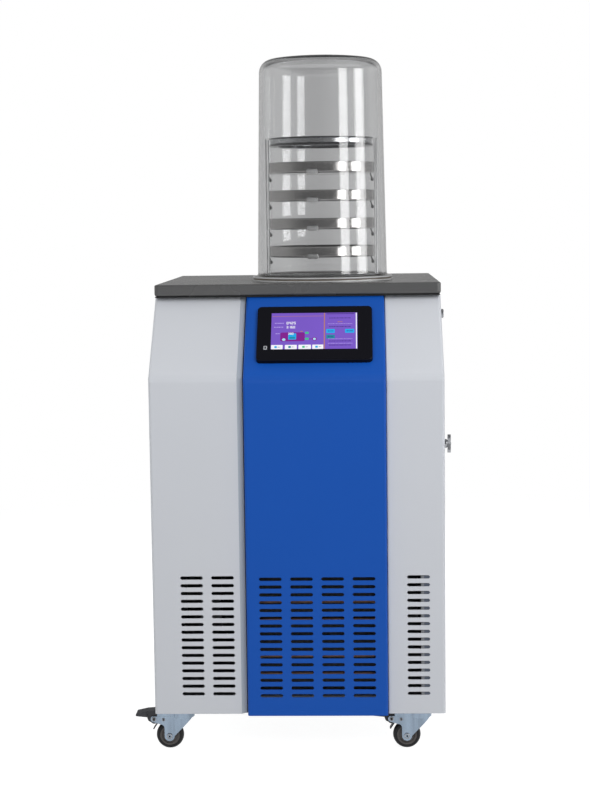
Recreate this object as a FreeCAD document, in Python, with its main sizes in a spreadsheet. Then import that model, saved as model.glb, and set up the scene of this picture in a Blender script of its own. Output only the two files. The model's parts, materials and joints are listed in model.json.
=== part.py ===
import FreeCAD, Part
import math
import os

import Sketcher
from FreeCAD import Placement, Rotation, Vector

# Upright laboratory freeze dryer on casters.  Millimetres, +Z up.  The floor is z = 0 and x = 0
# is the middle of the cabinet.  The front faces -Y.

# ---------------------------------------------------------------- driving dimensions
SIZES = {
    # cabinet envelope
    "cabinet_width": 520, "cabinet_depth": 616, "setback": 12, "caster_height": 80,
    "lower_height": 604.5, "slope_run": 137, "slope_rise": 135,
    # sheet metal
    "sheet": 1.5, "bend": 5, "bevel": 11, "return_flange": 14, "frame_gap": 0.5,
    # blue centre panel
    "panel_width": 250, "panel_centre": 32.6, "panel_proud": 13.7, "panel_gap": 0.6,
    # vent slots
    "slot_length": 40, "slot_height": 6, "vent_rows": 16, "vent_pitch": 14.05, "vent_top": 247.5,
    "vent_step": 55.1, "left_vent": -189.9, "panel_vent": -49.2, "right_vent": 212.6,
    "rear_rows": 8, "rear_columns": 4, "rear_step": 60, "rear_pitch": 20, "rear_vent_top": 300,
    # welded frame
    "rail": 25, "rail_wall": 1.5, "angle_wall": 2.5, "corner_plate": 4, "corner_size": 78,
    "post_flange": 16,
    "pan_sheet": 2, "pan_flange": 15,
    # worktop
    "worktop_setback": 118, "worktop_thickness": 21.3, "worktop_overhang": 2, "worktop_corner": 8,
    "worktop_top_round": 3, "worktop_low_round": 5, "gasket_thickness": 2.2, "gasket_inset": 5,
    "gasket_width": 20,
    # cold trap
    "trap_x": 42.6, "trap_setback": 300, "trap_bore": 178, "trap_depth": 270, "trap_wall": 1.5,
    "trap_flange": 268, "flange_thickness": 3, "trap_corner": 24, "foam": 24, "foam_gap": 0.5,
    "coil_tube": 9.5, "coil_pitch": 42, "coil_turns": 4, "coil_start": 92,
    # vacuum, air and drain connections
    "vacuum_drop": 70, "vacuum_tube": 28, "vacuum_bore": 24, "port_flange": 40, "port_reach": 34,
    "port_seat": 26.2, "air_z": 776, "air_tube": 8, "drain_z": 525, "drain_tube": 10,
    "valve_neck": 17.5, "valve_reach": 20, "handle_span": 34, "handle_thickness": 6,
    "valve_inside": 26, "spout": 8, "spout_length": 8, "handle_wing": 13,
    "knob_diameter": 17, "knob_length": 8, "neck_gap": 0.5,
    # bell jar
    "bell_base": 246, "bell_shoulder": 232, "bell_wall": 8, "bell_flange": 266, "bell_height": 416,
    "bell_corner": 25, "dome_rise": 9, "bell_flange_thickness": 4.5, "seal_thickness": 2,
    # tray rack
    "rod": 5, "rod_circle": 209.5, "tray_diameter": 202, "tray_height": 20.7, "tray_wall": 1,
    "tray_pitch": 52.1, "first_tray": 44.5, "ring_outer": 217, "ring_inner": 186,
    "ring_thickness": 3, "bracket": 3, "cap_bottom": 252.3, "cap_height": 15.4, "cap_diameter": 198,
    "tab_width": 20, "tab_height": 9, "tab_drop": 2, "tab_turn": 9.8,
    # display
    "bezel_width": 205, "bezel_height": 127, "bezel_proud": 10, "bezel_corner": 8,
    "bezel_centre": 32.5, "bezel_climb": 33, "housing_depth": 24, "housing_margin": 8,
    "screen_width": 153, "screen_height": 86, "screen_x": 32, "screen_climb": 57.5,
    "screen_thickness": 3, "screen_recess": 0.8, "light_x": -54, "light_climb": 61,
    "light_diameter": 5,
    # refrigeration
    "condenser_width": 226, "condenser_height": 232, "condenser_depth": 40, "condenser_front": 36,
    "row_pitch": 33, "row_count": 6, "line_tube": 8, "can_diameter": 150, "can_height": 190,
    "can_x": -95, "can_setback": 400, "fan_diameter": 190, "fan_hub": 56, "fan_width": 26,
    "shroud_sheet": 1.5, "shroud_lip": 14, "motor_diameter": 70, "motor_length": 48,
    "fan_shaft": 6, "drier_diameter": 20, "drier_length": 90,
    # power inlet
    "inlet_x": -190, "inlet_z": 190, "inlet_width": 50, "inlet_height": 72, "rocker_width": 13,
    "rocker_height": 20, "rocker_tilt": 8,
    # casters
    "wheel_diameter": 50, "wheel_width": 19, "tread_depth": 7, "tread_crown": 3,
    "hub_width": 22, "trail": 24, "caster_inset": 44, "caster_setback": 60,
    "plate_size": 60, "plate_thickness": 3,
    "kingpin": 10, "fork_width": 30,
    "fork_sheet": 2.5, "fork_top": 18, "fork_nose": 19, "race_diameter": 42, "swivel_gap": 0.3,
    "axle": 6, "running_gap": 0.05, "pedal_x": 52, "pedal_drop": 23, "pedal_tip": 85.5,
    "pedal_width": 32, "pin": 4,
}

DOC = FreeCAD.newDocument("freeze_dryer")
SHEET = DOC.addObject("Spreadsheet::Sheet", "size")
NODES = {}

# ---------------------------------------------------------------- derived places
# These are expressions over the sheet, so every piece that uses them follows a changed size.
SIDE = "(size.cabinet_width / 2)"
FRONT = "(-size.cabinet_depth / 2 - size.setback)"
REAR = "(size.cabinet_depth / 2 - size.setback)"
BASE = "size.caster_height"
KINK = f"({BASE} + size.lower_height)"
TOP = f"({KINK} + size.slope_rise)"
DECK = f"({TOP} + size.gasket_thickness)"
TABLE = f"({DECK} + size.worktop_thickness)"
SLOPE = "sqrt(size.slope_run^2 + size.slope_rise^2)"
SLOPE_ANGLE = "atan2(size.slope_rise; size.slope_run)"
PANEL_FRONT = f"({FRONT} - size.panel_proud)"
PANEL_LEFT = "(size.panel_centre - size.panel_width / 2)"
PANEL_RIGHT = "(size.panel_centre + size.panel_width / 2)"
RETURN_BACK = f"({FRONT} + size.bevel + size.return_flange)"
FRAME_INSET = "(size.sheet + size.frame_gap)"
FRAME_SIDE = f"({SIDE} - {FRAME_INSET})"
FRAME_REAR = f"({REAR} - {FRAME_INSET})"
PAN_TOP = f"({BASE} + size.rail + size.pan_sheet)"
TRAP_Y = f"({FRONT} + size.trap_setback)"
TRAP_OUTER = "(size.trap_bore / 2 + size.trap_wall)"
COIL_RADIUS = f"({TRAP_OUTER} + size.coil_tube / 2 + 0.3)"
FOAM_INNER = f"({COIL_RADIUS} + size.coil_tube / 2 + size.foam_gap)"
FOAM_OUTER = f"({FOAM_INNER} + size.foam)"
FOAM_FLOOR = f"({TABLE} - size.trap_depth - size.trap_wall - size.foam)"
SEAT = f"({TABLE} + size.flange_thickness)"
BELL_FOOT = f"({SEAT} + size.seal_thickness)"
KING_X = f"({SIDE} - size.caster_inset)"
KING_FRONT = f"({FRONT} + size.caster_setback)"
KING_REAR = f"({REAR} - size.caster_setback)"
CONDENSER_Y = f"({FRONT} + size.condenser_front)"
CONDENSER_BACK = f"({CONDENSER_Y} + size.condenser_depth)"
FAN_Z = f"({PAN_TOP} + size.condenser_height / 2)"
SHROUD_BACK = f"({CONDENSER_BACK} + size.shroud_sheet)"
FAN_Y = f"({SHROUD_BACK} + size.shroud_lip + 4)"
CAN_Y = f"({FRONT} + size.can_setback)"
OVER = "5"
"""How far a cutting shape reaches past the material it cuts."""


def fill_sheet():
    """Write each driving dimension as a plain number with its alias."""
    for row, (alias, value) in enumerate(SIZES.items(), 1):
        SHEET.set(f"A{row}", alias)
        SHEET.set(f"B{row}", str(value))
        SHEET.setAlias(f"B{row}", alias)
    DOC.recompute()


def mm(expression):
    """Value of an expression over the sheet."""
    result = SHEET.evalExpression(str(expression))
    return float(getattr(result, "Value", result))


# ---------------------------------------------------------------- sketches
NORMAL_SIGN = {"XY": 1, "YZ": 1, "XZ": -1}


def draw(body, plane, at, loops):
    """Sketch on one of the body's origin planes, moved to the coordinate `at` along its normal.

    A loop of three texts is a circle (x, y, radius).  Any other loop is a closed path of points
    (x, y).  A point may add how the edge that leaves it bends: "tangent" for an arc that carries
    on from the edge before it, or a radius and a turn of +1 (left) or -1 (right).
    """
    sketch = body.newObject("Sketcher::SketchObject", f"{body.Name}_sketch")
    support = next(item for item in body.Origin.OriginFeatures if item.Role == f"{plane}_Plane")
    sketch.AttachmentSupport = (support, [""])
    sketch.MapMode = "FlatFace"
    sketch.setExpression("AttachmentOffset.Base.z", f"{NORMAL_SIGN[plane]} * ({at})")
    for loop in loops:
        if isinstance(loop[0], str):
            draw_circle(sketch, *loop)
        else:
            draw_path(sketch, loop)
    return sketch


def fix(sketch, kind, geometry, end, expression):
    """Hold one coordinate of a sketch point at an expression."""
    constraint = Sketcher.Constraint(kind, -1, 1, geometry, end, mm(expression))
    sketch.setExpression(f"Constraints[{sketch.addConstraint(constraint)}]", str(expression))


def fix_radius(sketch, geometry, expression):
    """Hold a circle's or an arc's radius at an expression."""
    constraint = Sketcher.Constraint("Radius", geometry, mm(expression))
    sketch.setExpression(f"Constraints[{sketch.addConstraint(constraint)}]", str(expression))


def draw_circle(sketch, x, y, radius):
    """Add a circle held by its centre and radius."""
    circle = Part.Circle(Vector(mm(x), mm(y), 0), Vector(0, 0, 1), mm(radius))
    geometry = sketch.addGeometry(circle, False)
    fix(sketch, "DistanceX", geometry, 3, x)
    fix(sketch, "DistanceY", geometry, 3, y)
    fix_radius(sketch, geometry, radius)


def arc_between(start, stop, centre, left):
    """Arc from start to stop about a centre, turning left or right."""
    circle = Part.Circle(centre, Vector(0, 0, 1), (start - centre).Length)
    first, last = (start, stop) if left else (stop, start)
    return Part.ArcOfCircle(circle, circle.parameter(first), circle.parameter(last))


def path_edge(start, stop, bend, heading):
    """Geometry of one edge, whether it starts at its own first end, and the heading it leaves."""
    chord = stop - start
    if not bend:
        return Part.LineSegment(start, stop), True, chord.normalize()
    if bend[0] == "tangent":
        normal = Vector(-heading.y, heading.x, 0)
        reach = chord.dot(chord) / (2 * chord.dot(normal))
        centre = start + normal * reach
        left = reach > 0
    else:
        radius, left = mm(bend[0]), bend[1] > 0
        normal = Vector(-chord.y, chord.x, 0).normalize()
        reach = max(radius * radius - chord.Length * chord.Length / 4, 0) ** 0.5
        centre = start + chord * 0.5 + normal * (reach if left else -reach)
    spoke = stop - centre
    leaving = Vector(-spoke.y, spoke.x, 0) * (1 if left else -1)
    return arc_between(start, stop, centre, left), left, leaving.normalize()


def draw_path(sketch, points):
    """Add a closed path whose every corner is held by expressions."""
    corners = [Vector(mm(point[0]), mm(point[1]), 0) for point in points]
    edges = []
    heading = Vector(1, 0, 0)
    for index, point in enumerate(points):
        stop = corners[(index + 1) % len(points)]
        edge, forward, heading = path_edge(corners[index], stop, point[2:], heading)
        edges.append((sketch.addGeometry(edge, False), 1 if forward else 2, 2 if forward else 1))
    for index, point in enumerate(points):
        geometry, first, _ = edges[index]
        before, _, last = edges[index - 1]
        smooth = point[2:] == ("tangent",)
        joint = "Tangent" if smooth else "Coincident"
        sketch.addConstraint(Sketcher.Constraint(joint, before, last, geometry, first))
        fix(sketch, "DistanceX", geometry, first, point[0])
        fix(sketch, "DistanceY", geometry, first, point[1])
        if len(point) == 4:
            fix_radius(sketch, geometry, point[2])


def box_path(x1, y1, x2, y2):
    """Corners of an upright rectangle."""
    return [(x1, y1), (x2, y1), (x2, y2), (x1, y2)]


def slot_path(x, y):
    """A vent slot with eased ends about (x, y), long along the sketch's first axis."""
    long, tall, ease = "size.slot_length / 2", "size.slot_height / 2", "size.slot_height / 3"
    corners = [(f"{long} - {ease}", tall), (long, f"{tall} - {ease}")]
    quarters = ((1, 1, corners), (1, -1, corners[::-1]), (-1, -1, corners), (-1, 1, corners[::-1]))
    return [(f"{x} + {right} * ({a})", f"{y} + {up} * ({b})")
            for right, up, pair in quarters for a, b in pair]


# ---------------------------------------------------------------- features
def new_body(node):
    """A sub-part that is built from sketches."""
    body = DOC.addObject("PartDesign::Body", node)
    body.Label = node
    return body


def keep(node, item):
    """Record a finished sub-part under its node's name."""
    item.Label = node
    NODES[node] = item
    return item


def pad(body, sketch, length, back=False, both=False):
    """Extrude a sketch by a length, against its normal if `back`, or half each way if `both`."""
    feature = body.newObject("PartDesign::Pad", f"{body.Name}_pad")
    return extrude(feature, sketch, length, back, both)


def pocket(body, sketch, length, back=False, both=False):
    """Cut a sketch's outline to a depth.  A pocket runs against the sketch's normal."""
    feature = body.newObject("PartDesign::Pocket", f"{body.Name}_pocket")
    return extrude(feature, sketch, length, back, both)


def extrude(feature, sketch, length, back, both):
    """Set a pad's or a pocket's sketch, length and direction."""
    feature.Profile = sketch
    feature.setExpression("Length", str(length))
    feature.Reversed = back
    if both:
        feature.SideType = "Symmetric"
    return feature


def turn(body, sketch, kind="Revolution", axis="V_Axis"):
    """Revolve a sketch a full turn about one of its own axes, to add or (Groove) to cut."""
    feature = body.newObject(f"PartDesign::{kind}", f"{body.Name}_{kind.lower()}")
    feature.Profile = sketch
    feature.ReferenceAxis = (sketch, [axis])
    feature.Angle = 360
    return feature


def lie_at(**at):
    """Test for the edges whose every end lies at the given coordinates."""
    wanted = {axis: mm(value) for axis, value in at.items()}

    def test(edge):
        return all(abs(getattr(end.Point, axis) - value) < 0.01
                   for end in edge.Vertexes for axis, value in wanted.items())
    return test


def dress(body, kind, size, *tests):
    """Fillet or chamfer the edges of the body's tip that pass any of the tests."""
    DOC.recompute()
    base = body.Tip
    names = [f"Edge{number}" for number, edge in enumerate(base.Shape.Edges, 1)
             if any(test(edge) for test in tests)]
    if not names:
        raise RuntimeError(f"{body.Label}: no edge to {kind.lower()}")
    feature = body.newObject(f"PartDesign::{kind}", f"{body.Name}_{kind.lower()}")
    feature.Base = (base, names)
    feature.setExpression("Radius" if kind == "Fillet" else "Size", str(size))
    return feature


def repeat_grid(body, feature, sketch, across=None, up=None):
    """Repeat a feature in rows and columns: each of across and up is (count, step, backwards)."""
    pattern = body.newObject("PartDesign::LinearPattern", f"{body.Name}_pattern")
    pattern.Originals = [feature]
    first, second = (across, up) if across else (up, None)
    pattern.Direction = (sketch, ["H_Axis" if across else "V_Axis"])
    pattern.setExpression("Occurrences", str(first[0]))
    pattern.setExpression("Length", f"({first[0]} - 1) * {first[1]}")
    pattern.Reversed = first[2]
    if second:
        pattern.Direction2 = (sketch, ["V_Axis"])
        pattern.setExpression("Occurrences2", str(second[0]))
        pattern.setExpression("Length2", f"({second[0]} - 1) * {second[1]}")
        pattern.Reversed2 = second[2]
    body.Tip = pattern
    return pattern


def repeat_round(body, feature, sketch, count):
    """Repeat a feature evenly round the sketch's own normal."""
    pattern = body.newObject("PartDesign::PolarPattern", f"{body.Name}_ring")
    pattern.Originals = [feature]
    pattern.Axis = (sketch, ["N_Axis"])
    pattern.Angle = 360
    pattern.Occurrences = count
    body.Tip = pattern
    return pattern


def place(item, x="0", y="0", z="0", axis=(0, 0, 1), angle="0"):
    """Put a sub-part at a place, turned by an angle about an axis through its own origin."""
    item.Placement = Placement(Vector(), Rotation(Vector(*axis), 1))
    item.setExpression("Placement.Rotation.Angle", str(angle))
    for letter, expression in zip("xyz", (x, y, z)):
        item.setExpression(f"Placement.Base.{letter}", str(expression))
    return item


def cylinder(name, radius, height, x="0", y="0", z="0", axis=(0, 0, 1), angle="0"):
    """A Part cylinder bound to the sheet."""
    item = DOC.addObject("Part::Cylinder", name)
    item.setExpression("Radius", str(radius))
    item.setExpression("Height", str(height))
    return place(item, x, y, z, axis, angle)


def cut(name, base, tool):
    """Boolean difference of two objects."""
    item = DOC.addObject("Part::Cut", name)
    item.Base = base
    item.Tool = tool
    return item


def fuse(name, *items):
    """Boolean union of objects."""
    item = DOC.addObject("Part::MultiFuse", name)
    item.Shapes = list(items)
    item.Refine = True
    return item


def tube_route(name, points, radius, bends):
    """An eight-sided bar along straight runs joined by tangent arcs.

    The points are Vectors and `bends` gives each inner point's arc radius.
    """
    edges = []
    here = points[0]
    for corner, after, bend in zip(points[1:-1], points[2:], bends):
        arriving = (corner - here).normalize()
        leaving = (after - corner).normalize()
        half = arriving.getAngle(leaving) / 2
        setoff = bend * abs(math.tan(half))
        start = corner - arriving * setoff
        stop = corner + leaving * setoff
        inward = (leaving - arriving).normalize()
        middle = corner + inward * (bend / math.cos(half) - bend)
        edges.append(Part.LineSegment(here, start).toShape())
        edges.append(Part.Arc(start, middle, stop).toShape())
        here = stop
    edges.append(Part.LineSegment(here, points[-1]).toShape())
    first = (points[1] - points[0]).normalize()
    circle = Part.Circle(points[0], first, radius)
    corners = [circle.value(math.pi * (side + 0.5) / 4) for side in range(8)]
    section = Part.makePolygon([*corners, corners[0]])
    item = DOC.addObject("Part::Feature", name)
    item.Shape = Part.Wire(edges).makePipe(Part.Face(section))
    return item


# ---------------------------------------------------------------- cabinet
def bent_profile(front, inset, rim, back):
    """Side outline of the cabinet: upright front, slope above the bend, square back.

    `inset` moves the front surfaces inward along their normals, `rim` moves the bottom and the
    top inward, and `back` is where the outline ends behind.
    """
    run = "size.slope_run / size.slope_rise"
    top_y = f"{front} + (size.slope_rise - ({rim})) * {run} + ({inset}) * {SLOPE} / size.slope_rise"
    bend_z = f"{KINK} - ({inset}) * ({SLOPE} - size.slope_rise) / size.slope_run"
    low, high = f"{BASE} + ({rim})", f"{TOP} - ({rim})"
    return [(f"{front} + ({inset})", low), (back, low), (back, high), (top_y, high),
            (f"{front} + ({inset})", bend_z)]


def on_front(front, inset, x):
    """Test for the edges at x that run up a folded front, after it is moved in by the inset."""
    side, depth = mm(x), mm(inset)
    rise, run = mm("size.slope_rise"), mm("size.slope_run")
    face = mm(front) + depth
    bend = mm(KINK) - depth * (mm(SLOPE) - rise) / run

    def test(edge):
        ends = [end.Point for end in edge.Vertexes]
        return all(abs(end.x - side) < 0.01 and
                   abs(end.y - face - max(0, end.z - bend) * run / rise) < 0.02 for end in ends)
    return test


def cover_blank(node, side, inset, rim, back):
    """Solid under one side cover: the whole wedge and its bends.

    `side` is -1 for the left cover, whose inner edge is bevelled, and +1 for the right.
    """
    inner = (f"{PANEL_LEFT} - size.panel_gap - ({inset})" if side < 0
             else f"{PANEL_RIGHT} + size.panel_gap + ({inset})")
    outer = f"{side} * ({SIDE} - ({inset}))"
    body = new_body(node)
    sketch = draw(body, "YZ", outer, [bent_profile(FRONT, inset, rim, back)])
    pad(body, sketch, f"abs(({outer}) - ({inner}))", back=side > 0)
    if side < 0:
        dress(body, "Chamfer", f"size.bevel - (2 - sqrt(2)) * ({inset})",
              on_front(FRONT, inset, inner))
    else:
        dress(body, "Fillet", f"size.sheet + 0.6 - ({inset})", on_front(FRONT, inset, inner))
    dress(body, "Fillet", f"size.bend - ({inset})", on_front(FRONT, inset, outer))
    return body


def side_cover(node, side, vent_x, columns, holes=()):
    """One folded sheet: side wall, front, slope and the return beside the blue panel."""
    body = cover_blank(node, side, "0", "0", REAR)
    hollow = cover_blank(f"{node}_inside", side, "size.sheet", f"-{OVER}", f"{REAR} + {OVER}")
    shell = body.newObject("PartDesign::Boolean", f"{node}_shell")
    shell.Type = "Cut"
    shell.setObjects([hollow])
    inner = f"{PANEL_LEFT} - size.panel_gap" if side < 0 else f"{PANEL_RIGHT} + size.panel_gap"
    behind = bent_profile(RETURN_BACK, "0", f"-{OVER}", f"{REAR} + {OVER}")
    flange = draw(body, "YZ", inner, [behind])
    pocket(body, flange, "4 * size.sheet", both=True)
    vent_slots(body, FRONT, vent_x, columns)
    if holes:
        circles = [(TRAP_Y, z, radius) for z, radius in holes]
        sketch = draw(body, "YZ", f"{side} * {SIDE}", circles)
        pocket(body, sketch, "4 * size.sheet", both=True)
    return keep(node, body)


def vent_slots(body, front, x, columns):
    """Cut the rows and columns of vent slots in a front sheet."""
    sketch = draw(body, "XZ", front, [slot_path(x, f"{BASE} + size.vent_top")])
    first = pocket(body, sketch, "4 * size.sheet", both=True)
    rows = ("size.vent_rows", "size.vent_pitch", True)
    across = (columns, "size.vent_step", False) if columns > 1 else None
    return repeat_grid(body, first, sketch, across, rows)


def centre_panel():
    """Blue channel that stands proud of the covers, with vents below and a display opening."""
    body = panel_blank("centre_panel", "0", "0")
    hollow = panel_blank("centre_panel_inside", "size.sheet", f"-{OVER}")
    shell = body.newObject("PartDesign::Boolean", "centre_panel_shell")
    shell.Type = "Cut"
    shell.setObjects([hollow])
    vent_slots(body, PANEL_FRONT, "size.panel_vent", 4)
    sketch = slope_sketch(body, PANEL_FRONT, [housing_opening("0.5")])
    pocket(body, sketch, "6 * size.sheet", both=True)
    return keep("centre_panel", body)


def panel_blank(node, inset, rim):
    """Solid under the blue panel."""
    body = new_body(node)
    width = f"size.panel_width - 2 * ({inset})"
    behind = f"{RETURN_BACK} + {OVER}" if node.endswith("inside") else RETURN_BACK
    middle = "size.panel_centre"
    run = "size.slope_run / size.slope_rise"
    outline = bent_profile(PANEL_FRONT, inset, rim, behind)
    low, high = outline[1][1], outline[2][1]
    lean = f"(size.slope_rise - ({rim})) * {run}"
    outline[1:3] = [(behind, low), (behind, KINK), (f"{behind} + {lean}", high)]
    sketch = draw(body, "YZ", middle, [outline])
    pad(body, sketch, width, both=True)
    sides = [f"{middle} - ({width}) / 2", f"{middle} + ({width}) / 2"]
    tests = [on_front(PANEL_FRONT, inset, x) for x in sides]
    dress(body, "Fillet", f"size.bend - ({inset})", *tests)
    return body


def slope_sketch(body, front, loops):
    """Sketch on the slope of a front: first axis along X, second axis up the slope."""
    sketch = draw(body, "XY", "0", loops)
    sketch.AttachmentOffset = Placement(Vector(), Rotation(Vector(1, 0, 0), 1))
    sketch.setExpression("AttachmentOffset.Rotation.Angle", SLOPE_ANGLE)
    sketch.setExpression("AttachmentOffset.Base.y", front)
    sketch.setExpression("AttachmentOffset.Base.z", KINK)
    return sketch


def housing_opening(gap):
    """Outline of the display housing's back box, larger all round by a gap."""
    half = f"(size.bezel_width / 2 - size.housing_margin + {gap})"
    low = f"size.bezel_climb + size.housing_margin - {gap}"
    high = f"size.bezel_climb + size.bezel_height - size.housing_margin + {gap}"
    return box_path(f"size.bezel_centre - {half}", low, f"size.bezel_centre + {half}", high)


def cabinet_frame():
    """Welded frame: two side rings of folded channel, four cross angles and corner plates."""
    body = new_body("cabinet_frame")
    ring = [bent_profile(FRONT, FRAME_INSET, "0", FRAME_REAR),
            bent_profile(FRONT, f"{FRAME_INSET} + size.rail", "size.rail",
                         f"{FRAME_REAR} - size.rail")]
    groove = [bent_profile(FRONT, f"{FRAME_INSET} + size.rail_wall", "size.rail_wall",
                           f"{FRAME_REAR} - size.rail_wall"),
              bent_profile(FRONT, f"{FRAME_INSET} + size.rail - size.rail_wall",
                           "size.rail - size.rail_wall",
                           f"{FRAME_REAR} - size.rail + size.rail_wall")]
    for side in (-1, 1):
        pad(body, draw(body, "YZ", f"{side} * {FRAME_SIDE}", ring), "size.rail", back=side > 0)
    edges = [on_front(FRONT, FRAME_INSET, f"{side} * {FRAME_SIDE}") for side in (-1, 1)]
    dress(body, "Chamfer", "size.sheet + 0.5", *edges)
    for side in (-1, 1):
        mouth = f"{side} * ({FRAME_SIDE} - size.rail)"
        pocket(body, draw(body, "YZ", mouth, groove), "size.rail - size.rail_wall",
               back=side > 0)
    top_front = f"{RETURN_BACK} + 1 + size.slope_run"
    corners = ((f"{RETURN_BACK} + 1", BASE, 1, 1), (FRAME_REAR, BASE, -1, 1),
               (FRAME_REAR, TOP, -1, -1), (top_front, TOP, 1, -1))
    for y, z, toward_y, toward_z in corners:
        sketch = draw(body, "YZ", "0", [angle_path(y, z, toward_y, toward_z)])
        pad(body, sketch, f"2 * {FRAME_SIDE} - size.rail_wall", both=True)
    plates = []
    for side in (-1, 1):
        edge = f"{side} * {FRAME_SIDE}"
        inner = f"{side} * ({FRAME_SIDE} - size.corner_size)"
        for outer_y, toward in ((f"{FRONT} + {FRAME_INSET} + size.bend", 1), (FRAME_REAR, -1)):
            inner_y = f"{outer_y} + {toward} * (size.corner_size + size.caster_inset / 2)"
            low_x, high_x = (edge, inner) if side < 0 else (inner, edge)
            low_y, high_y = (outer_y, inner_y) if toward > 0 else (inner_y, outer_y)
            plates.append(box_path(low_x, low_y, high_x, high_y))
    pad(body, draw(body, "XY", BASE, plates), "size.corner_plate")
    post = f"({FRAME_SIDE} - size.rail)"
    front = f"{FRONT} + {FRAME_INSET}"
    strip = box_path(f"{post} - size.post_flange", front, f"{post} + 2",
                     f"{front} + size.angle_wall")
    pad(body, draw(body, "XY", BASE, [strip]), "size.lower_height - size.rail")
    return keep("cabinet_frame", body)


def angle_path(y, z, toward_y, toward_z):
    """Section of an angle bar with its corner at (y, z) and its legs pointing as told."""
    leg, wall = "size.rail", "size.angle_wall"
    ends = [("0", "0"), (leg, "0"), (leg, wall), (wall, wall), (wall, leg), ("0", leg)]
    return [(f"{y} + {toward_y} * {a}", f"{z} + {toward_z} * {b}") for a, b in ends]


def base_pan():
    """Floor sheet on the bottom rails, turned up along both sides."""
    body = new_body("base_pan")
    half = f"({FRAME_SIDE} - 1)"
    low, top = f"{BASE} + size.rail", f"{BASE} + size.rail + size.pan_flange"
    inside = f"({half} - size.pan_sheet)"
    outline = [(f"-{half}", low), (half, low), (half, top), (inside, top), (inside, PAN_TOP),
               (f"-{inside}", PAN_TOP), (f"-{inside}", top), (f"-{half}", top)]
    front = f"{RETURN_BACK} + 3"
    back = f"{FRAME_REAR} - size.rail - 1"
    pad(body, draw(body, "XZ", front, [outline]), f"({back}) - ({front})", back=True)
    return keep("base_pan", body)


def rear_panel():
    """Flat rear sheet with its vent field and the cut-outs for port and inlet."""
    body = new_body("rear_panel")
    half = f"({SIDE} - size.sheet - size.panel_gap)"
    outline = box_path(f"-{half}", f"{BASE} + 2", half, f"{TOP} - 1")
    pad(body, draw(body, "XZ", REAR, [outline]), "size.sheet")
    row = f"{BASE} + size.rear_vent_top"
    first_x = "-(size.rear_columns - 1) * size.rear_step / 2 + size.panel_centre"
    slot = draw(body, "XZ", REAR, [slot_path(first_x, row)])
    hole = pocket(body, slot, "4 * size.sheet", both=True)
    repeat_grid(body, hole, slot, ("size.rear_columns", "size.rear_step", False),
                ("size.rear_rows", "size.rear_pitch", True))
    port = [("size.trap_x", f"{TABLE} - size.vacuum_drop", "size.vacuum_tube / 2 + 1")]
    pocket(body, draw(body, "XZ", REAR, port), "4 * size.sheet", both=True)
    inlet = box_path("size.inlet_x - size.inlet_width / 2 + 3",
                     "size.inlet_z - size.inlet_height / 2 + 3",
                     "size.inlet_x + size.inlet_width / 2 - 3",
                     "size.inlet_z + size.inlet_height / 2 - 3")
    pocket(body, draw(body, "XZ", REAR, [inlet]), "4 * size.sheet", both=True)
    return keep("rear_panel", body)


def worktop():
    """Thick top slab with a round opening for the cold trap and eased edges."""
    body = new_body("worktop")
    front = f"{FRONT} + size.worktop_setback"
    back = f"{REAR} + size.worktop_overhang"
    pad(body, draw(body, "XY", DECK, [box_path(f"-{SIDE}", front, SIDE, back)]),
        "size.worktop_thickness")
    opening = [("size.trap_x", TRAP_Y, f"{TRAP_OUTER} + 0.5")]
    pocket(body, draw(body, "XY", TABLE, opening), f"size.worktop_thickness + {OVER}")
    uprights = [lie_at(x=x, y=y) for x in (f"-{SIDE}", SIDE) for y in (front, back)]
    dress(body, "Fillet", "size.worktop_corner", *uprights)
    rim = f"{TRAP_OUTER} + 0.5"
    dress(body, "Fillet", "size.worktop_top_round", outside(TABLE, rim))
    dress(body, "Fillet", "size.worktop_low_round", outside(DECK, rim))
    return keep("worktop", body)


def outside(z, radius):
    """Test for the edges at height z that lie outside the trap's round opening."""
    level = lie_at(z=z)
    centre = Vector(mm("size.trap_x"), mm(TRAP_Y), mm(z))
    limit = mm(radius) + 1

    def test(edge):
        return level(edge) and all((end.Point - centre).Length > limit for end in edge.Vertexes)
    return test


def worktop_gasket():
    """Black strip that seats the worktop on the frame and shows as a shadow gap."""
    body = new_body("worktop_gasket")
    loops = []
    for inset in ("size.gasket_inset", "(size.gasket_inset + size.gasket_width)"):
        loops.append(box_path(f"-({FRAME_SIDE} - {inset} + 3)",
                              f"{FRONT} + size.slope_run + {inset}",
                              f"{FRAME_SIDE} - {inset} + 3", f"{FRAME_REAR} - {inset} + 3"))
    pad(body, draw(body, "XY", TOP, loops), "size.gasket_thickness")
    return keep("worktop_gasket", body)


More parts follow.
